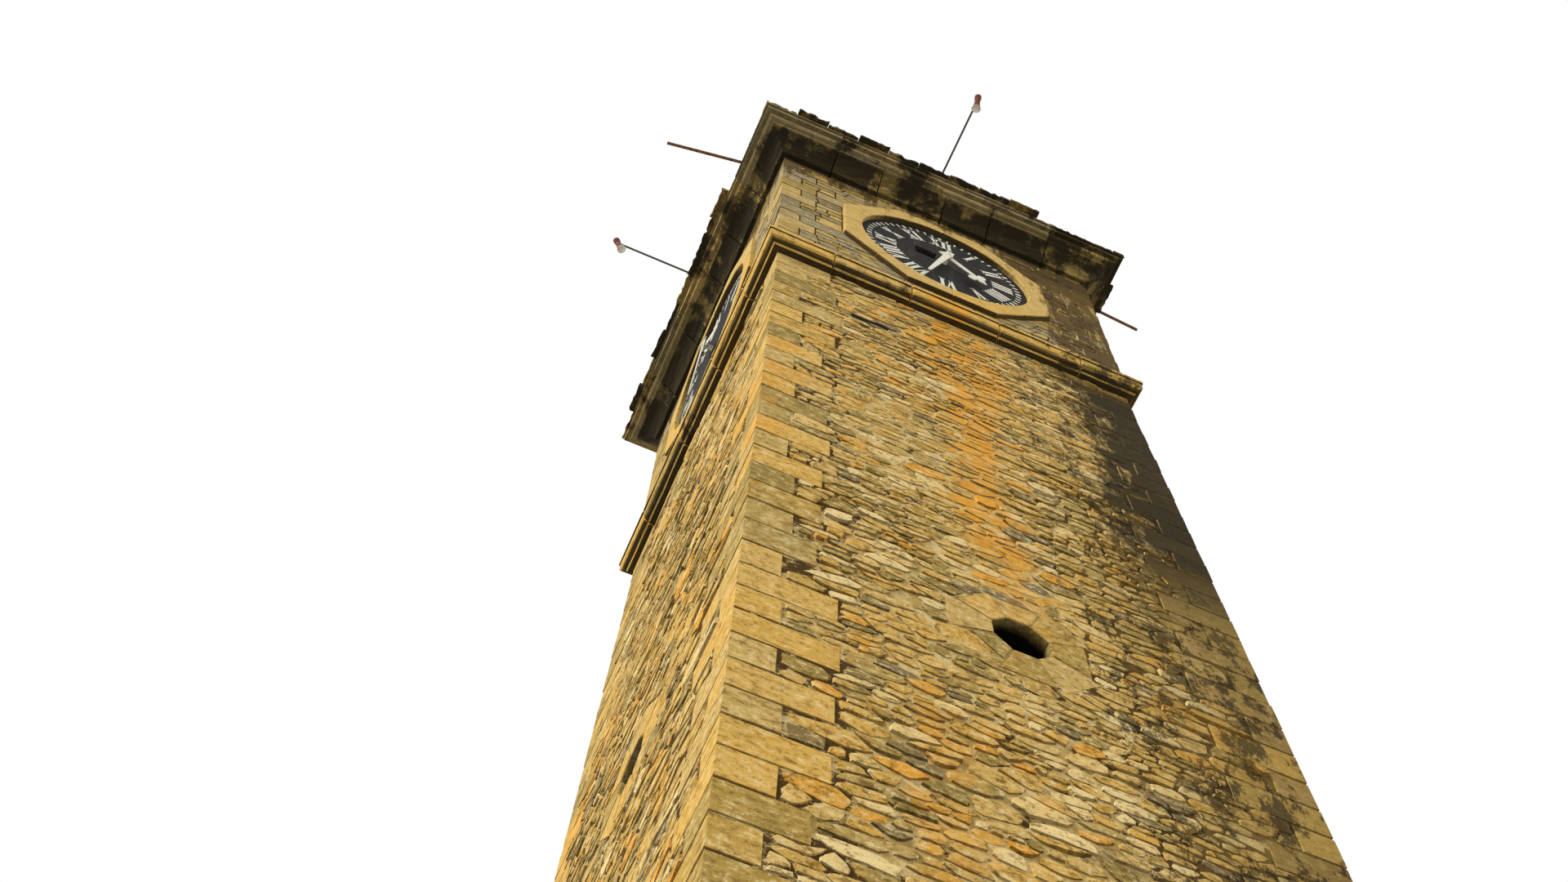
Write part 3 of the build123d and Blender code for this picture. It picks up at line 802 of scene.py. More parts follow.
# %% Lay the rubble of each face
small_layers, large_layers = (0.01, 0.24, 0.45, 0.30), (0.15, 0.50, 0.30, 0.05)
large_share, lost_share = 0.2, 0.015
site_margin, edge_margin = 0.035, 0.004
flush_joint, deep_joint, flush_face, deep_face = 0.004, 0.012, 0.004, 0.020
for side, turn in SIDES.items():
    rng = chance(20 + turn)
    blocks = []
    for z0, z1 in pairwise(shaft_levels):
        layers = large_layers if rng.uniform() < large_share else small_layers
        blocks += lay_lift(z0, z1, lambda z: -shaft_half(z), shaft_half, rng, cell=(0.25, 0.8),
                           layers=layers, lengths=(1.3, 3.4), uneven=0.42)
    blocks = np.array(blocks)
    size = blocks.max(axis=1) - blocks.min(axis=1)
    sites = blocks.mean(axis=1) + rng.uniform(-0.2, 0.2, size.shape) * size
    sites = sites[in_rubble(sites[:, 0], sites[:, 1], side, site_margin)]
    stands = standing(sites[:, 0], sites[:, 1]) * rng.uniform(0.4, 1.4, len(sites))
    arms = cell_arms(sites, lambda u, z: in_rubble(u, z, side, edge_margin),
                     flush_joint + deep_joint * stands, rng)
    keep = rng.uniform(0, 1, len(sites)) > lost_share
    sites, arms, stands = sites[keep], arms[keep], stands[keep]
    count = len(sites)
    tilt = rng.normal(0, 1, (count, 2)) * (0.02, 0.06)
    inset = rng.uniform(0.006, 0.014, count)
    proud = flush_face + deep_face * stands
    points = cell_points(turn, sites, arms, inset, proud, tilt, shaft_half, rng)
    make_piece(f"rubble_{side}", [(wave(points, turn), cell_faces())], rubble,
               rng.uniform(0, 1, count))

# %% [markdown]
# ## Corner stones
# The corners are built of larger dressed blocks, long on one face and short on the other by turns,
# which tie the two walls together. Each is a strip round the corner: an end, a bevel, the corner,
# a bevel and an end.

# %% Corner stones round the corners
corner_joint, corner_uneven, corner_ragged = 0.005, 0.003, 0.0025


def corner_stones(name, levels, reaches, half, material, seed, proud, inset):
    """Blocks at the corner to the right of each face, as grids of five stations by four heights.

    At x metres from the corner u = half - x on its left face and u = x - half on its right face,
    and at the corner both faces meet at (half + rise, -half - rise).
    """
    rng, grids, tones = chance(seed), [], []
    for turn in SIDES.values():
        for level, (z0, z1) in enumerate(pairwise(levels)):
            before, after = reaches(level, 1) - corner_joint, reaches(level, 0) - corner_joint
            low, high = z0 + corner_joint, z1 - corner_joint
            rows = np.array([low, low + inset, high - inset, high])
            stand = proud + rng.uniform(-corner_uneven, corner_uneven)
            rise = np.array([-SINK, stand, stand, -SINK])
            edge = half(rows)
            grid = np.array([place(turn, edge - before, edge - SINK, rows),
                             place(turn, edge - before + inset, edge + rise, rows),
                             place(turn, edge + rise, edge + rise, rows),
                             place(turn + 90, -edge + after - inset, edge + rise, rows),
                             place(turn + 90, -edge + after, edge - SINK, rows)])
            grids.append(grid + rng.uniform(-corner_ragged, corner_ragged, grid.shape))
            tones.append(rng.uniform())
    make_piece(name, [(np.array(grids), shell_faces(5, 4))], material, tones)


corner_stones("shaft_corner_stones", shaft_levels, corner_reach, shaft_half, quoin_stone,
              5, proud=0.007, inset=0.009)


# %% [markdown]
# ## Window stones
# Eight wedge-shaped blocks lie flush round each window. Their joints cross the corners of the
# opening, and some blocks reach further than others, as the masons had them.


# %% Wedges round each window
def wedge_corners(centre, inner, outer, joint):
    """Corners of eight wedges from an eight-sided opening out to their own reach."""
    turns = np.radians(45 * np.arange(8))[:, None]
    slope = math.tan(math.pi / 8)
    inner = inner + 0 * outer
    behind, before = 0.004, 0.006
    across = np.stack([-inner * slope + joint, inner * slope - joint, outer * slope - joint,
                       -outer * slope + joint], axis=-1)
    away = np.stack([inner + behind] * 2 + [outer - before] * 2, axis=-1)
    u = across * np.cos(turns) + away * np.sin(turns)
    z = -across * np.sin(turns) + away * np.cos(turns)
    return np.stack([u, z + centre], axis=-1)


for side, turn in SIDES.items():
    rng = chance(60 + turn)
    corners = np.concatenate([wedge_corners(z, window_half, reaches, joint=0.005)
                              for z, reaches in zip(window_heights, window_reaches[side])])
    proud = rng.uniform(0.003, 0.010, 16)
    points = pillow_points(turn, corners, shaft_half, rng, proud, inset=0.008, ragged=0.002)
    make_piece(f"window_wedges_{side}", [(points, PILLOW_FACES)], quoin_stone,
               rng.uniform(0, 1, 16))

# %% [markdown]
# ## Blocks of the clock stage
# The clock stage is built of small squared blocks in level courses, cut to the surround.

# %% Lay the clock stage
clock_wall_half = lambda z: clock_half + 0 * z
clock_marks = [clock_foot, dial_height - surround_half, dial_height + surround_half, clock_head]
clock_levels = levels_between(clock_marks, 0.27)
long_block, short_block = 0.46, 0.26
clock_reach = lambda level, at_right: long_block if (level + at_right) % 2 else short_block
dial_hole = lambda z: float(octagon_half(z, dial_height, surround_half))
for side, turn in SIDES.items():
    rng = chance(80 + turn)
    corners = lay_courses(clock_levels, clock_half, clock_reach, dial_hole, 0.004, rng,
                          cell=(0.5, 1.4), layers=(0.3, 0.7), lengths=(1.3, 2.9), joint=0.006)
    proud = rng.uniform(0.001, 0.006, len(corners))
    points = pillow_points(turn, corners, clock_wall_half, rng, proud, inset=0.011, ragged=0.0035)
    make_piece(f"clock_blocks_{side}", [(points, PILLOW_FACES)], coursed,
               rng.uniform(0, 1, len(corners)))
corner_stones("clock_corner_stones", clock_levels, clock_reach, clock_wall_half, coursed,
              6, proud=0.004, inset=0.008)


# %% [markdown]
# ## Surround of the dial
# Eight blocks, each with one corner of the outline, meet at the middle of the sides. A block is a
# bar: a ring of points of its section, carried round the opening.


# %% Surround blocks
surround_edge, surround_gap, surround_back, surround_wear = 0.009, 0.007, 0.003, 0.0025


def surround_points(turn, rng):
    """Rings of six points at 11 stations a block, from the opening to r = half / cos(angle)."""
    opening, back, edge = opening_radius + 0.004, clock_half, surround_edge
    share = np.concatenate([[0, 0.012], np.linspace(0.1, 0.9, 7), [0.988, 1]])
    angle = np.radians(45 * (np.arange(8)[:, None] + share[None, :]) + 0.06)
    gap = np.tile(np.where((share == 0) | (share == 1), surround_gap, 0.0), (8, 1))
    side_angle = np.radians(45) * np.round(angle / np.radians(45))
    outer = surround_half / np.cos(angle - side_angle)
    face = surround_face + rng.uniform(-surround_back, 0.0, (8, 1)) - gap
    r = np.stack([opening + 0 * outer, opening + gap, opening + edge + gap, outer - edge - gap,
                  outer - gap, outer], axis=-1)
    out = np.stack([back + 0 * face, face - edge, face, face, face - edge, back + 0 * face], -1)
    worn = rng.uniform(-surround_wear, 0.0, out.shape)
    worn[..., [0, 5]] = 0
    angle = angle[..., None]
    return place(turn, r * np.sin(angle), out + worn, dial_height + r * np.cos(angle))


for side, turn in SIDES.items():
    rng = chance(100 + turn)
    tones = rng.uniform(0, 1, 8)
    make_piece(f"surround_blocks_{side}", [(surround_points(turn, rng), bar_faces(11, 6))],
               surround_stone, tones, f"clock_surround_{side}")

# %% [markdown]
# ## Numerals and minute marks
# The numerals are painted strokes between two thin rings of serifs, laid out as flat plates three
# millimetres thick in the plane of the dial, and turned to their hour.

# %% Strokes of the numerals
NUMERALS = ("XII", "I", "II", "III", "IIII", "V", "VI", "VII", "VIII", "IX", "X", "XI")
numeral_low, numeral_high = 0.647, 0.935
thick_stroke, thin_stroke, serif = 0.046, 0.020, 0.012
advance = {"I": 0.078, "V": 0.150, "X": 0.160}


def stroke(x0, x1, width, low=numeral_low, high=numeral_high):
    """A stroke of a given width from (x0, low) to (x1, high)."""
    w = width / 2
    return [(x0 - w, low), (x0 + w, low), (x1 + w, high), (x1 - w, high)]


def serif_bar(x, width, at_top):
    """A thin bar across the end of a stroke."""
    z = numeral_high - serif if at_top else numeral_low
    return stroke(x, x, width, z, z + serif)


def numeral_flats(text):
    """Flat plates of one numeral, upright over the middle, its foot at the smaller radius."""
    at = -sum(advance[c] for c in text) / 2
    flats = []
    for c in text:
        middle, spread = at + advance[c] / 2, advance[c] * 0.30
        left, right = middle - spread, middle + spread
        if c == "I":
            flats += [stroke(middle, middle, thick_stroke)]
            flats += [serif_bar(middle, advance[c] * 0.98, top) for top in (False, True)]
        if c == "V":
            flats += [stroke(middle, left, thick_stroke), stroke(middle, right, thin_stroke)]
            flats += [serif_bar(left, 0.075, True), serif_bar(right, 0.055, True)]
        if c == "X":
            flats += [stroke(right, left, thick_stroke), stroke(left, right, thin_stroke)]
            flats += [serif_bar(x, 0.07, top) for x in (left, right) for top in (False, True)]
        at += advance[c]
    return np.array(flats)


# %% Plates on the dials
def plate_points(turn, flats, face, thick, height=0.0):
    """Eight points a plate from flat corners (n, 4, 2): four sunk in the face, four in front."""
    u, z = flats[..., 0], height + flats[..., 1]
    return np.concatenate([place(turn, u, face - 0.001, z), place(turn, u, face + thick, z)], 1)


def spun(flats, degrees):
    """Flat corners turned clockwise round the dial's middle."""
    a = math.radians(degrees)
    u, z = flats[..., 0], flats[..., 1]
    return np.stack([u * math.cos(a) + z * math.sin(a), -u * math.sin(a) + z * math.cos(a)], -1)


mark_low, mark_high = 0.975, 1.046
plates = [spun(numeral_flats(text), 30 * hour) for hour, text in enumerate(NUMERALS)]
for minute in range(60):
    w = 0.013 if minute % 5 else 0.021
    mark = [(-w, mark_low), (w, mark_low), (w * 1.1, mark_high), (-w * 1.1, mark_high)]
    plates.append(spun(np.array([mark]), 6 * minute))
plates = np.concatenate(plates)
for side, turn in SIDES.items():
    points = plate_points(turn, plates, dial_face, 0.003, dial_height)
    make_piece(f"numerals_{side}", [(points, PLATE_FACES)], numeral_paint)

# %% [markdown]
# ## Moulded courses
# The string course and the cornice are rows of long blocks with the same section. The section is a
# ring of points, and a block carries it from joint to joint. A corner block carries it to the
# diagonal and on along the next face, so its mitre is cut in one stone, as masons do.

# %% Blocks of a moulded course
groove, bevel, set_back, mitre_room = 0.009, 0.012, 0.004, 0.03


def worn_section(section, count, stations, wear, rng):
    """Distances out and heights (count, stations, rows) of a section (rows, 2) of (out, z).

    Each block stands back a little, its ends are grooved, and wear moves outer points in.
    """
    shape = (count, stations, len(section))
    outer = section[:, 0] > section[:, 0].min() + 0.01
    block = rng.uniform(-set_back, 0.0, (count, 1, 1))
    grooves = np.zeros((count, stations, 1))
    grooves[:, [0, -1]] = -groove
    worn = -np.abs(rng.normal(0, wear, shape))
    out = section[:, 0] + np.where(outer, block + grooves + worn, 0.0)
    return out, np.broadcast_to(section[:, 1], shape)


def course_blocks(name, section, half, material, seed, leg, lengths, wear, gap=0.003,
                  replaces=None):
    """All the blocks of a course: straight ones between the joints, and one round each corner.

    leg is the length of a corner block on a face. Its mitre is where u = out; up to it u is the
    least of its place and out, and beyond it, on the next face, the greatest of place and -out.
    """
    rng = chance(seed)
    joints = [cuts(-half + leg, half - leg, *lengths, rng) for _ in SIDES]
    straight, corner, rim = [], [], section[:, 0].max()
    fractions = np.array([0, 0, 0.2, 0.4, 0.6, 0.8, 1, 1])
    nudges = np.array([gap, gap + bevel, 0, 0, 0, 0, -gap - bevel, -gap])
    for index, turn in enumerate(SIDES.values()):
        along, after = joints[index], joints[(index + 1) % 4][0]
        lines = along[:-1, None] + (along[1:] - along[:-1])[:, None] * fractions + nudges
        out, z = worn_section(section, *lines.shape, wear, rng)
        straight.append(place(turn, lines[..., None], out, z))
        first = np.array([along[-1] + gap, along[-1] + gap + bevel, (along[-1] + rim) / 2,
                          rim - mitre_room])[:, None]
        second = np.array([-rim + mitre_room, (after - rim) / 2, after - gap - bevel, after - gap])
        out, z = worn_section(section, 1, 9, wear, rng)
        corner.append(np.concatenate([
            place(turn, np.minimum(first, out[:, :4]), out[:, :4], z[:, :4]),
            place(turn, out[:, 4:5], out[:, 4:5], z[:, 4:5]),
            place(turn + 90, np.maximum(second[:, None], -out[:, 5:]), out[:, 5:], z[:, 5:])], 1))
    straight, corner = np.concatenate(straight), np.concatenate(corner)
    parts = [(straight, bar_faces(8, len(section))), (corner, bar_faces(9, len(section)))]
    tones = rng.uniform(0, 1, len(straight) + len(corner))
    make_piece(name, parts, material, tones, replaces)


def hollow_curve(start, end, sag, count):
    """Points on an arc from start to end that bows towards the wall by sag (a parabola)."""
    t = np.linspace(0, 1, count)[:, None]
    start, end = np.array(start), np.array(end)
    chord = end - start
    normal = np.array([-chord[1], chord[0]]) / np.linalg.norm(chord)
    return start + t * chord + normal * 4 * sag * t * (1 - t)


# %% String course
string_low, string_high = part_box("string_course")
string_half, string_foot, string_head = string_high.x, string_low.z, string_high.z
inner_half = clock_half - 0.05
neck, nose = string_half - 0.085, string_half - 0.015
string_section = np.concatenate([
    [(inner_half, string_foot), (string_half - 0.100, string_foot), (neck, string_foot + 0.030)],
    hollow_curve((neck, string_foot + 0.030), (nose, string_foot + 0.125), -0.017, 5)[1:],
    [(nose, string_foot + 0.240), (string_half, string_foot + 0.240),
     (string_half, string_head - 0.020), (clock_half, string_head), (inner_half, string_head)],
])
course_blocks("string_blocks", string_section, string_half, string_stone, 7,
              leg=0.80, lengths=(0.60, 1.10), wear=0.003, gap=0.007, replaces="string_course")

# %% Cornice bed
bed_low, bed_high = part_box("cornice_bed")
bed_half, bed_foot, bed_head = bed_high.x, bed_low.z, bed_high.z
band, lip = clock_half + 0.005, clock_half + 0.065
bed_section = np.concatenate([
    [(inner_half, bed_foot), (band, bed_foot), (band, bed_foot + 0.095), (lip, bed_foot + 0.095)],
    hollow_curve((lip, bed_foot + 0.115), (bed_half, bed_head - 0.015), 0.023, 7),
    [(bed_half, bed_head), (inner_half, bed_head)],
])
course_blocks("cornice_bed_blocks", bed_section, bed_half, cornice_stone, 8,
              leg=0.93, lengths=(0.5, 0.85), wear=0.005, gap=0.009, replaces="cornice_bed")

# %% Cornice moulding
moulding_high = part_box("cornice_moulding")[1]
moulding_half, moulding_head = moulding_high.x, moulding_high.z
fillet_half = bed_half + 0.018
moulding_section = np.concatenate([
    [(inner_half, bed_head), (fillet_half, bed_head)],
    hollow_curve((fillet_half, bed_head + 0.028), (moulding_half, moulding_head), -0.019, 6),
    [(inner_half, moulding_head)],
])
course_blocks("cornice_moulding_blocks", moulding_section, moulding_half, fillet_stone,
              9, leg=1.03, lengths=(0.7, 1.2), wear=0.0035,
              replaces="cornice_moulding")

# %% Cornice fascia
cornice_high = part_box("cornice_fascia")[1]
cornice_half, cornice_head = cornice_high.x, cornice_high.z
fascia_half, drip_edge = cornice_half - 0.030, cornice_head - 0.030
fascia_section = np.array([
    (inner_half, moulding_head), (fascia_half, moulding_head), (fascia_half, cornice_head - 0.060),
    (fascia_half, drip_edge), (cornice_half, drip_edge), (cornice_half, cornice_head),
    (inner_half, cornice_head),
])
course_blocks("cornice_fascia_blocks", fascia_section, cornice_half, fillet_stone,
              10, leg=1.12, lengths=(0.8, 1.3), wear=0.005,
              replaces="cornice_fascia")


# %% [markdown]
# ## Rough coping slabs
# Thin dark slabs lie along the roof's edge with uneven overhangs. Each is a bar whose outer edge is
# worn and broken, so the skyline isn't straight.


# %% Coping slabs with worn edges
def slab_boxes():
    """Lowest and highest corner of each slab of the solid, found by joining its faces' corners."""
    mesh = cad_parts["coping_slabs"].data
    points = np.array([v.co for v in mesh.vertices]).round(4)
    _, same = np.unique(points, axis=0, return_inverse=True)
    same = same.reshape(-1)
    label = same.copy()
    edges = np.array([e.vertices for e in mesh.edges])
    for _ in range(60):
        low = np.minimum(label[edges[:, 0]], label[edges[:, 1]])
        np.minimum.at(label, edges[:, 0], low)
        np.minimum.at(label, edges[:, 1], low)
        least = np.full(same.max() + 1, label.max() + 1)
        np.minimum.at(least, same, label)
        label = np.minimum(label, least[same])
    slabs = [points[label == k] for k in np.unique(label)]
    return [(slab.min(axis=0), slab.max(axis=0)) for slab in slabs]


rng = chance(12)
stations = 9
grids = []
for low, high in slab_boxes():
    turn = max(SIDES.values(), key=lambda t: on_face(t, (low + high) / 2)[1])
    across, outs = on_face(turn, np.array([low, high]))
    inner, outer, z0, z1 = min(outs), max(outs), low[2], high[2]
    u = np.tile(np.linspace(min(across), max(across), stations)[:, None], 5)
    out = np.tile([inner, outer - 0.006, outer, outer - 0.004, inner + 0.01], (stations, 1))
    z = np.tile([z0, z0, (z0 + z1) / 2, z1 - 0.004, z1], (stations, 1))
    bite = np.abs(rng.normal(0, 0.011, (stations, 1)))
    out[:, 1:4] -= bite + np.abs(rng.normal(0, 0.004, (stations, 3)))
    z[:, 3:] -= np.abs(rng.normal(0, 0.004, (stations, 2)))
    u[1:-1] += rng.uniform(-0.02, 0.02, (stations - 2, 1))
    grids.append(place(turn, u, out, z))
make_piece("coping_rough_slabs", [(np.array(grids), bar_faces(stations, 5))], coping_stone,
           rng.uniform(0, 1, len(grids)), "coping_slabs")

# %% [markdown]
# ## Plinth and step
# The foot of the tower is out of the picture. Such towers stand on large squared blocks, with a
# sloping top course that throws off the rain and a broad step of long slabs below it.

# %% Sizes of the plinth
plinth_low, plinth_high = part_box("plinth")
plinth_half, plinth_foot = plinth_high.x, plinth_low.z
plinth_slope, plinth_joint = 0.20, 0.004
slope_foot = plinth_high.z - plinth_slope
plinth_wall = lambda z: plinth_half + 0 * z
plinth_levels = levels_between([plinth_foot, slope_foot], 0.35)
long_plinth, short_plinth = 0.85, 0.50
plinth_reach = lambda level, at_right: long_plinth if (level + at_right) % 2 else short_plinth


def sloped_half(z):
    """Half width of the sloping top: from the plinth's face in to the foot of the shaft."""
    share = np.clip((z - slope_foot) / plinth_slope, 0, 1)
    return plinth_half + (shaft_half(slope_foot + plinth_slope) - plinth_half) * share


# %% Plinth blocks
top_share = sloped_half(slope_foot + plinth_slope) / plinth_half
low, high = slope_foot + plinth_joint, slope_foot + plinth_slope - plinth_joint
for side, turn in SIDES.items():
    rng = chance(140 + turn)
    door = door_half if side == "front" else 0.0
    corners = lay_courses(plinth_levels, plinth_half, plinth_reach, lambda z: door, 0.0, rng,
                          cell=(4.0, 5.0), layers=(1.0,), lengths=(1.4, 2.6), joint=plinth_joint)
    proud = rng.uniform(0.006, 0.012, len(corners))
    points = pillow_points(turn, corners, plinth_wall, rng, proud, inset=0.014, ragged=0.0025)
    slope = []
    beside = door / plinth_half
    for begin, end in [(-1.0, -beside), (beside, 1.0)] if door else [(-1.0, 1.0)]:
        for ends in pairwise(cuts(begin, end, 0.28, 0.42, rng)):
            a, b = (end * plinth_half for end in ends)
            c, d = (end * plinth_half * (top_share if abs(end) == 1 else 1) for end in ends)
            slope.append([(a + plinth_joint, low), (b - plinth_joint, low),
                          (d - plinth_joint, high), (c + plinth_joint, high)])
    proud = rng.uniform(0.006, 0.01, len(slope))
    slope = np.array(slope)
    slope = pillow_points(turn, slope, sloped_half, rng, proud, inset=0.012, ragged=0.002)
    points = np.concatenate([points, slope])
    make_piece(f"plinth_blocks_{side}", [(points, PILLOW_FACES)], plinth_stone,
               rng.uniform(0, 1, len(points)))
corner_stones("plinth_corner_stones", plinth_levels, plinth_reach, plinth_wall, plinth_stone,
              15, proud=0.010, inset=0.012)

# %% Slabs of the base step
step_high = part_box("base_step")[1]
step_skin = 0.010
step_half, step_face, step_inside = step_high.x, step_high.x + step_skin, plinth_half - 0.05
step_top = step_high.z
step_section = np.array([
    (step_inside, 0.0), (step_face, 0.0), (step_face, step_top - 0.040),
    (step_half - 0.010, step_top + 0.002), (step_half - 0.040, step_top + step_skin),
    (step_inside, step_top + step_skin),
])
course_blocks("step_slabs", step_section, step_half, plinth_stone, 16, leg=0.5,
              lengths=(0.9, 1.4), wear=0.003)

# %% [markdown]
# ## Doorway and door
# Dressed blocks stand in the jambs, wedge stones make the round head with a larger key, and the
# door is of upright boards on two iron straps, studded with nails and with a ring to pull it by.

# %% Stones of the doorway
leaf_low, leaf_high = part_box("door_leaf")
leaf_half, spring = leaf_high.x, leaf_high.z - leaf_high.x
portal_wall = lambda z: -portal_low.y + 0 * z
wedges, key, key_proud, wedge_long, key_long = 9, 4, 0.03, 0.27, 0.34
rng = chance(17)
stones = []
for z0, z1 in pairwise(levels_between([portal_low.z, spring], 0.34)):
    for a, b in ((-door_half, -leaf_half), (leaf_half, door_half)):
        a, b, low, high = a + 0.003, b - 0.003, z0 + 0.004, z1 - 0.004
        stones.append([(a, low), (b, low), (b, high), (a, high)])
for k, (a, b) in enumerate(pairwise(np.radians(np.linspace(-90, 90, wedges + 1)))):
    a, b = a + 0.006, b - 0.006
    inner, outer = leaf_half + 0.006, leaf_half + (key_long if k == key else wedge_long)
    stones.append([(r * math.sin(g), spring + r * math.cos(g))
                   for r, g in ((inner, a), (inner, b), (outer, b), (outer, a))])
proud = rng.uniform(0.006, 0.012, len(stones))
proud[len(stones) - wedges + key] = key_proud
points = pillow_points(0, np.array(stones), portal_wall, rng, proud, inset=0.012, ragged=0.0015)
make_piece("doorway_stones", [(points, PILLOW_FACES)], quoin_stone,
           rng.uniform(0.1, 0.9, len(stones)))

# %% Boards of the door
door_face, board_count, board_thick = -leaf_low.y, 8, 0.014
marks = np.linspace(-leaf_half + 0.004, leaf_half - 0.004, board_count + 1)
left, right = marks[:-1] + 0.002, marks[1:] - 0.002
u = np.stack([left, right, right - 0.003, left + 0.003], axis=-1)[:, None, :]
foot, top = leaf_low.z + 0.004, spring + np.sqrt(np.maximum((leaf_half - 0.006) ** 2 - u**2, 4e-4))
z = foot + (top - foot) * np.linspace(0, 1, 5)[:, None]
out = door_face + np.array([-0.001, -0.001, board_thick, board_thick])
make_piece("door_boards", [(place(0, u, out, z), bar_faces(5, 4))], door_timber,
           chance(18).uniform(0, 1, board_count))

# %% Straps, nails and ring of the door
strap_face = door_face + board_thick
strap_heights = (leaf_low.z + 0.35, spring - 0.15)
strap_ends, strap_halves, strap_thick = (-0.50, 0.36), (0.03, 0.022), 0.006
flats = np.array([[(strap_ends[0], z - strap_halves[0]), (strap_ends[1], z - strap_halves[1]),
                   (strap_ends[1], z + strap_halves[1]), (strap_ends[0], z + strap_halves[0])]
                  for z in strap_heights])
points = plate_points(0, flats, strap_face, strap_thick)
make_piece("door_straps", [(points, PLATE_FACES)], iron_strap)

nails = [(u, z, strap_face + 0.005) for z in strap_heights for u in np.linspace(-0.46, 0.32, 9)]
nails += [(u, z, strap_face - 0.001) for z in (leaf_low.z + 0.9, leaf_low.z + 1.35)
          for u in (marks[:-1] + marks[1:]) / 2]
nail_radius, nail_height = 0.011, 0.008
u, z, out = np.array(nails).T[:, :, None, None]
a = np.array([0.0, 0.6, 1.2])[:, None]
b = np.linspace(0, 2 * np.pi, 8, endpoint=False)
domes = place(0, u + nail_radius * np.cos(a) * np.cos(b), out + nail_height * np.sin(a) + 0 * b,
              z + nail_radius * np.cos(a) * np.sin(b))
make_piece("door_nails", [(domes, bar_faces(3, 8))], iron_strap)

ring_place, ring_radius, ring_wire = (0.42, leaf_low.z + 1.1), 0.06, 0.007
ring_turns, around = 28, 8
a = np.linspace(0, 2 * np.pi, ring_turns, endpoint=False)[:, None]
reach = ring_radius + ring_wire * np.cos(b)
ring = place(0, ring_place[0] + reach * np.cos(a), strap_face + 0.012 + ring_wire * np.sin(b),
             ring_place[1] + reach * np.sin(a))
ring_faces = grid_quads(ring_turns + 1, around, True) % (ring_turns * around)
make_piece("door_ring", [(ring[None], [ring_faces[:, [0, 3, 2, 1]]])], iron_strap,
           smooth=True)

# %% [markdown]
# ## Roof flags
# The low roof is laid with thin flags in rows, each row lapping the one below.

# %% Lay the roof flags
roof_low, roof_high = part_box("roof_slab")
roof_half, roof_peak, roof_edge, roof_flat = roof_high.x, roof_high.z, roof_low.z + 0.06, 0.10
flag_gap, flag_bed = 0.005, 0.004


def roof_height(out):
    """Height of the roof at a distance from the middle."""
    return roof_edge + (roof_peak - roof_edge) * (roof_half - out) / (roof_half - roof_flat)


grids = []
rng = chance(19)
for turn in SIDES.values():
    for outer, inner in pairwise(np.linspace(roof_half, 0.14, 7)):
        for a, b in pairwise(cuts(-1.0, 1.0, 0.62 / outer, 1.0 / outer, rng)):
            head = [end * (outer if abs(end) < 1 else inner) for end in (a, b)]
            head = np.clip([head[0] + flag_gap, head[1] - flag_gap], flag_gap - inner,
                           inner - flag_gap)
            rise = rng.uniform(0.012, 0.02)
            u = np.array([a * outer + flag_gap, b * outer - flag_gap, head[1], head[0]])
            out = np.array([outer, outer, inner, inner])
            bed = roof_height(out)
            top = bed + np.array([rise, rise, flag_bed, flag_bed])
            grids.append([place(turn, u, out, bed - flag_bed), place(turn, u, out, top)])
points = np.array(grids)
points[..., 2] = np.minimum(points[..., 2], roof_peak)
make_piece("roof_flags", [(points, PLATE_FACES)], roof_stone,
           rng.uniform(0, 1, len(points)))

# %% [markdown]
# ## Lamps, brackets and bolts
# Each lamp shines back at its dial: a white reflector with a rolled rim and a glass in its mouth.
# The brackets are bolted down through the coping.

# %% Reflectors and bands
arm_low, arm_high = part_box("lamp_arms")
arm_z = (arm_low.z + arm_high.z) / 2
lamp_tilt, lamp_hold, lamp_out = math.radians(68), 0.090, 3.750
lamp_places = {"front": -0.100, "right": 0.0, "back": 0.0, "left": 0.0}
axis = np.array([-math.cos(lamp_tilt), -math.sin(lamp_tilt)])
across = np.array([-axis[1], axis[0]])
around = 28


def lamp_lathe(side, profile):
    """A lathed piece on a lamp's axis: profile (n, 2) of radius and distance from the cap."""
    radius, along = profile.T[:, :, None]
    b = np.linspace(0, 2 * np.pi, around, endpoint=False)
    out = lamp_out + axis[0] * (along - lamp_hold) + across[0] * radius * np.cos(b)
    z = arm_z + axis[1] * (along - lamp_hold) + across[1] * radius * np.cos(b)
    return place(SIDES[side], lamp_places[side] + radius * np.sin(b), out, z)


mouth = 0.280
reflector = np.array([(0.004, -0.024), (0.034, -0.023), (0.052, -0.003), (0.058, -0.004),
                      (0.062, -0.001), (0.062, 0.003), (0.058, 0.005), (0.051, 0.003),
                      (0.033, -0.017), (0.004, -0.018)]) + (0, mouth)
band = np.array([(0.033, 0.132), (0.038, 0.132), (0.038, 0.148), (0.033, 0.148)])
for name, profile, material, slot in (("lamp_reflectors", reflector, lamp_white, "lamp_paint"),
                                      ("lamp_bands", band, black_iron, "black_iron")):
    grids = np.array([lamp_lathe(side, profile) for side in SIDES])
    make_piece(name, [(grids, bar_faces(len(profile), around))], material)

# %% Bolts of the brackets
bracket_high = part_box("arm_brackets")[1]
bolt_out, bolt_back, bolt_side = bracket_high.x - 0.022, 0.075, 0.028
bolt_radius, bolt_foot, bolt_head = 0.011, -0.001, 0.008
angle = np.linspace(0, 2 * np.pi, 6, endpoint=False)
heights = bracket_high.z + np.array([bolt_foot, bolt_head])[:, None]
bolts = [place(turn, lamp_places[side] + u + bolt_radius * np.cos(angle),
               out + bolt_radius * np.sin(angle), heights)
         for side, turn in SIDES.items() for u in (-bolt_side, bolt_side)
         for out in (bolt_out - bolt_back, bolt_out)]
make_piece("bracket_bolts", [(np.array(bolts), bar_faces(2, 6))], iron_strap)

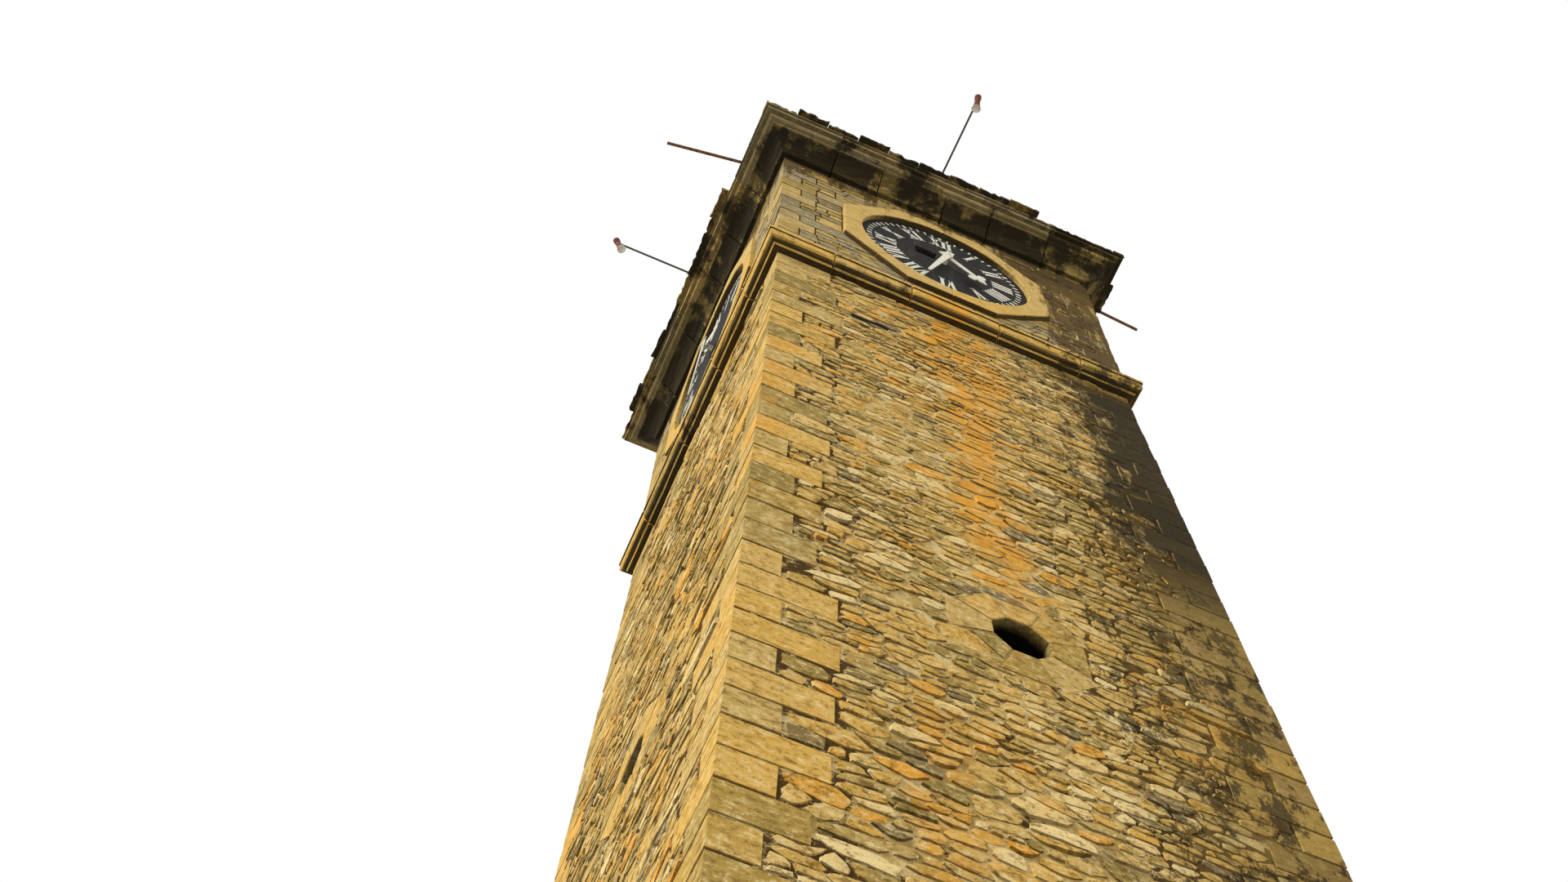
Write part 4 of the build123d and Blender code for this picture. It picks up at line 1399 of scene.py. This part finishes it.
# %% [markdown]
# ## Bright sky, pale floor and soft light
# The view looks up at the tower, so most of the background is the world. It is white to the camera,
# and lights the stone with a plain grey from all round. A soft sun from the left gives the left
# face its brightness.

# %% Camera
focal_pixels, picture_pixels, sensor = 2154.6, 1920, 36.0
camera_data = bpy.data.cameras.new("camera")
camera_data.sensor_width = sensor
camera_data.lens = focal_pixels / picture_pixels * sensor
camera_data.clip_end = 300.0
camera = new_object("camera", camera_data)
turn_right, rise, roll = 0.3531, 1.1591, -0.0601
forward = Vector((math.sin(turn_right) * math.cos(rise), math.cos(turn_right) * math.cos(rise),
                  math.sin(rise)))
level = Vector((math.cos(turn_right), -math.sin(turn_right), 0.0))
down = forward.cross(level)
right_way = math.cos(roll) * level + math.sin(roll) * down
down_way = -math.sin(roll) * level + math.cos(roll) * down
axes = Matrix((right_way, -down_way, -forward)).transposed()
eye = Vector((-3.990, -7.703, 1.602))
camera.matrix_world = Matrix.Translation(eye) @ axes.to_4x4()
bpy.context.scene.camera = camera

# %% World
world = bpy.data.worlds.new("studio")
world.use_nodes = True
tree = world.node_tree
seen = (add(tree, "LightPath", output="Is Camera Ray")
        + add(tree, "LightPath", output="Is Glossy Ray")
        + add(tree, "LightPath", output="Is Transmission Ray"))
lit, white = (add(tree, "Background", {"Color": (1.0, 1.0, 1.0, 1.0), "Strength": power})
              for power in (0.72, 1.0))
mixed = add(tree, "MixShader", {0: seen, 1: lit, 2: white})
tree.links.new(mixed.socket, tree.nodes["World Output"].inputs[0])
bpy.context.scene.world = world
bpy.context.scene.view_settings.view_transform = "Standard"

# %% Sun and floor
sun_data = bpy.data.lights.new("sun", "SUN")
sun_data.energy = 2.5
sun_data.angle = math.radians(6)
sun = new_object("sun", sun_data)
sunbeam = Vector((0.80, 0.28, -0.62))
sun.rotation_euler = sunbeam.to_track_quat("-Z", "Y").to_euler()

floor_half, floor_height = 40, -0.002
floor_mesh = bpy.data.meshes.new("floor")
floor_corners = [(x * floor_half, y * floor_half, floor_height)
                 for x, y in ((-1, -1), (1, -1), (1, 1), (-1, 1))]
floor_mesh.from_pydata(floor_corners, [], [(0, 1, 2, 3)])
floor_paint, _, floor_shader = new_material("floor", 0.9)
floor_shader.inputs["Base Color"].default_value = colour(232, 230, 224)
floor_mesh.materials.append(floor_paint)
floor = new_object("floor", floor_mesh)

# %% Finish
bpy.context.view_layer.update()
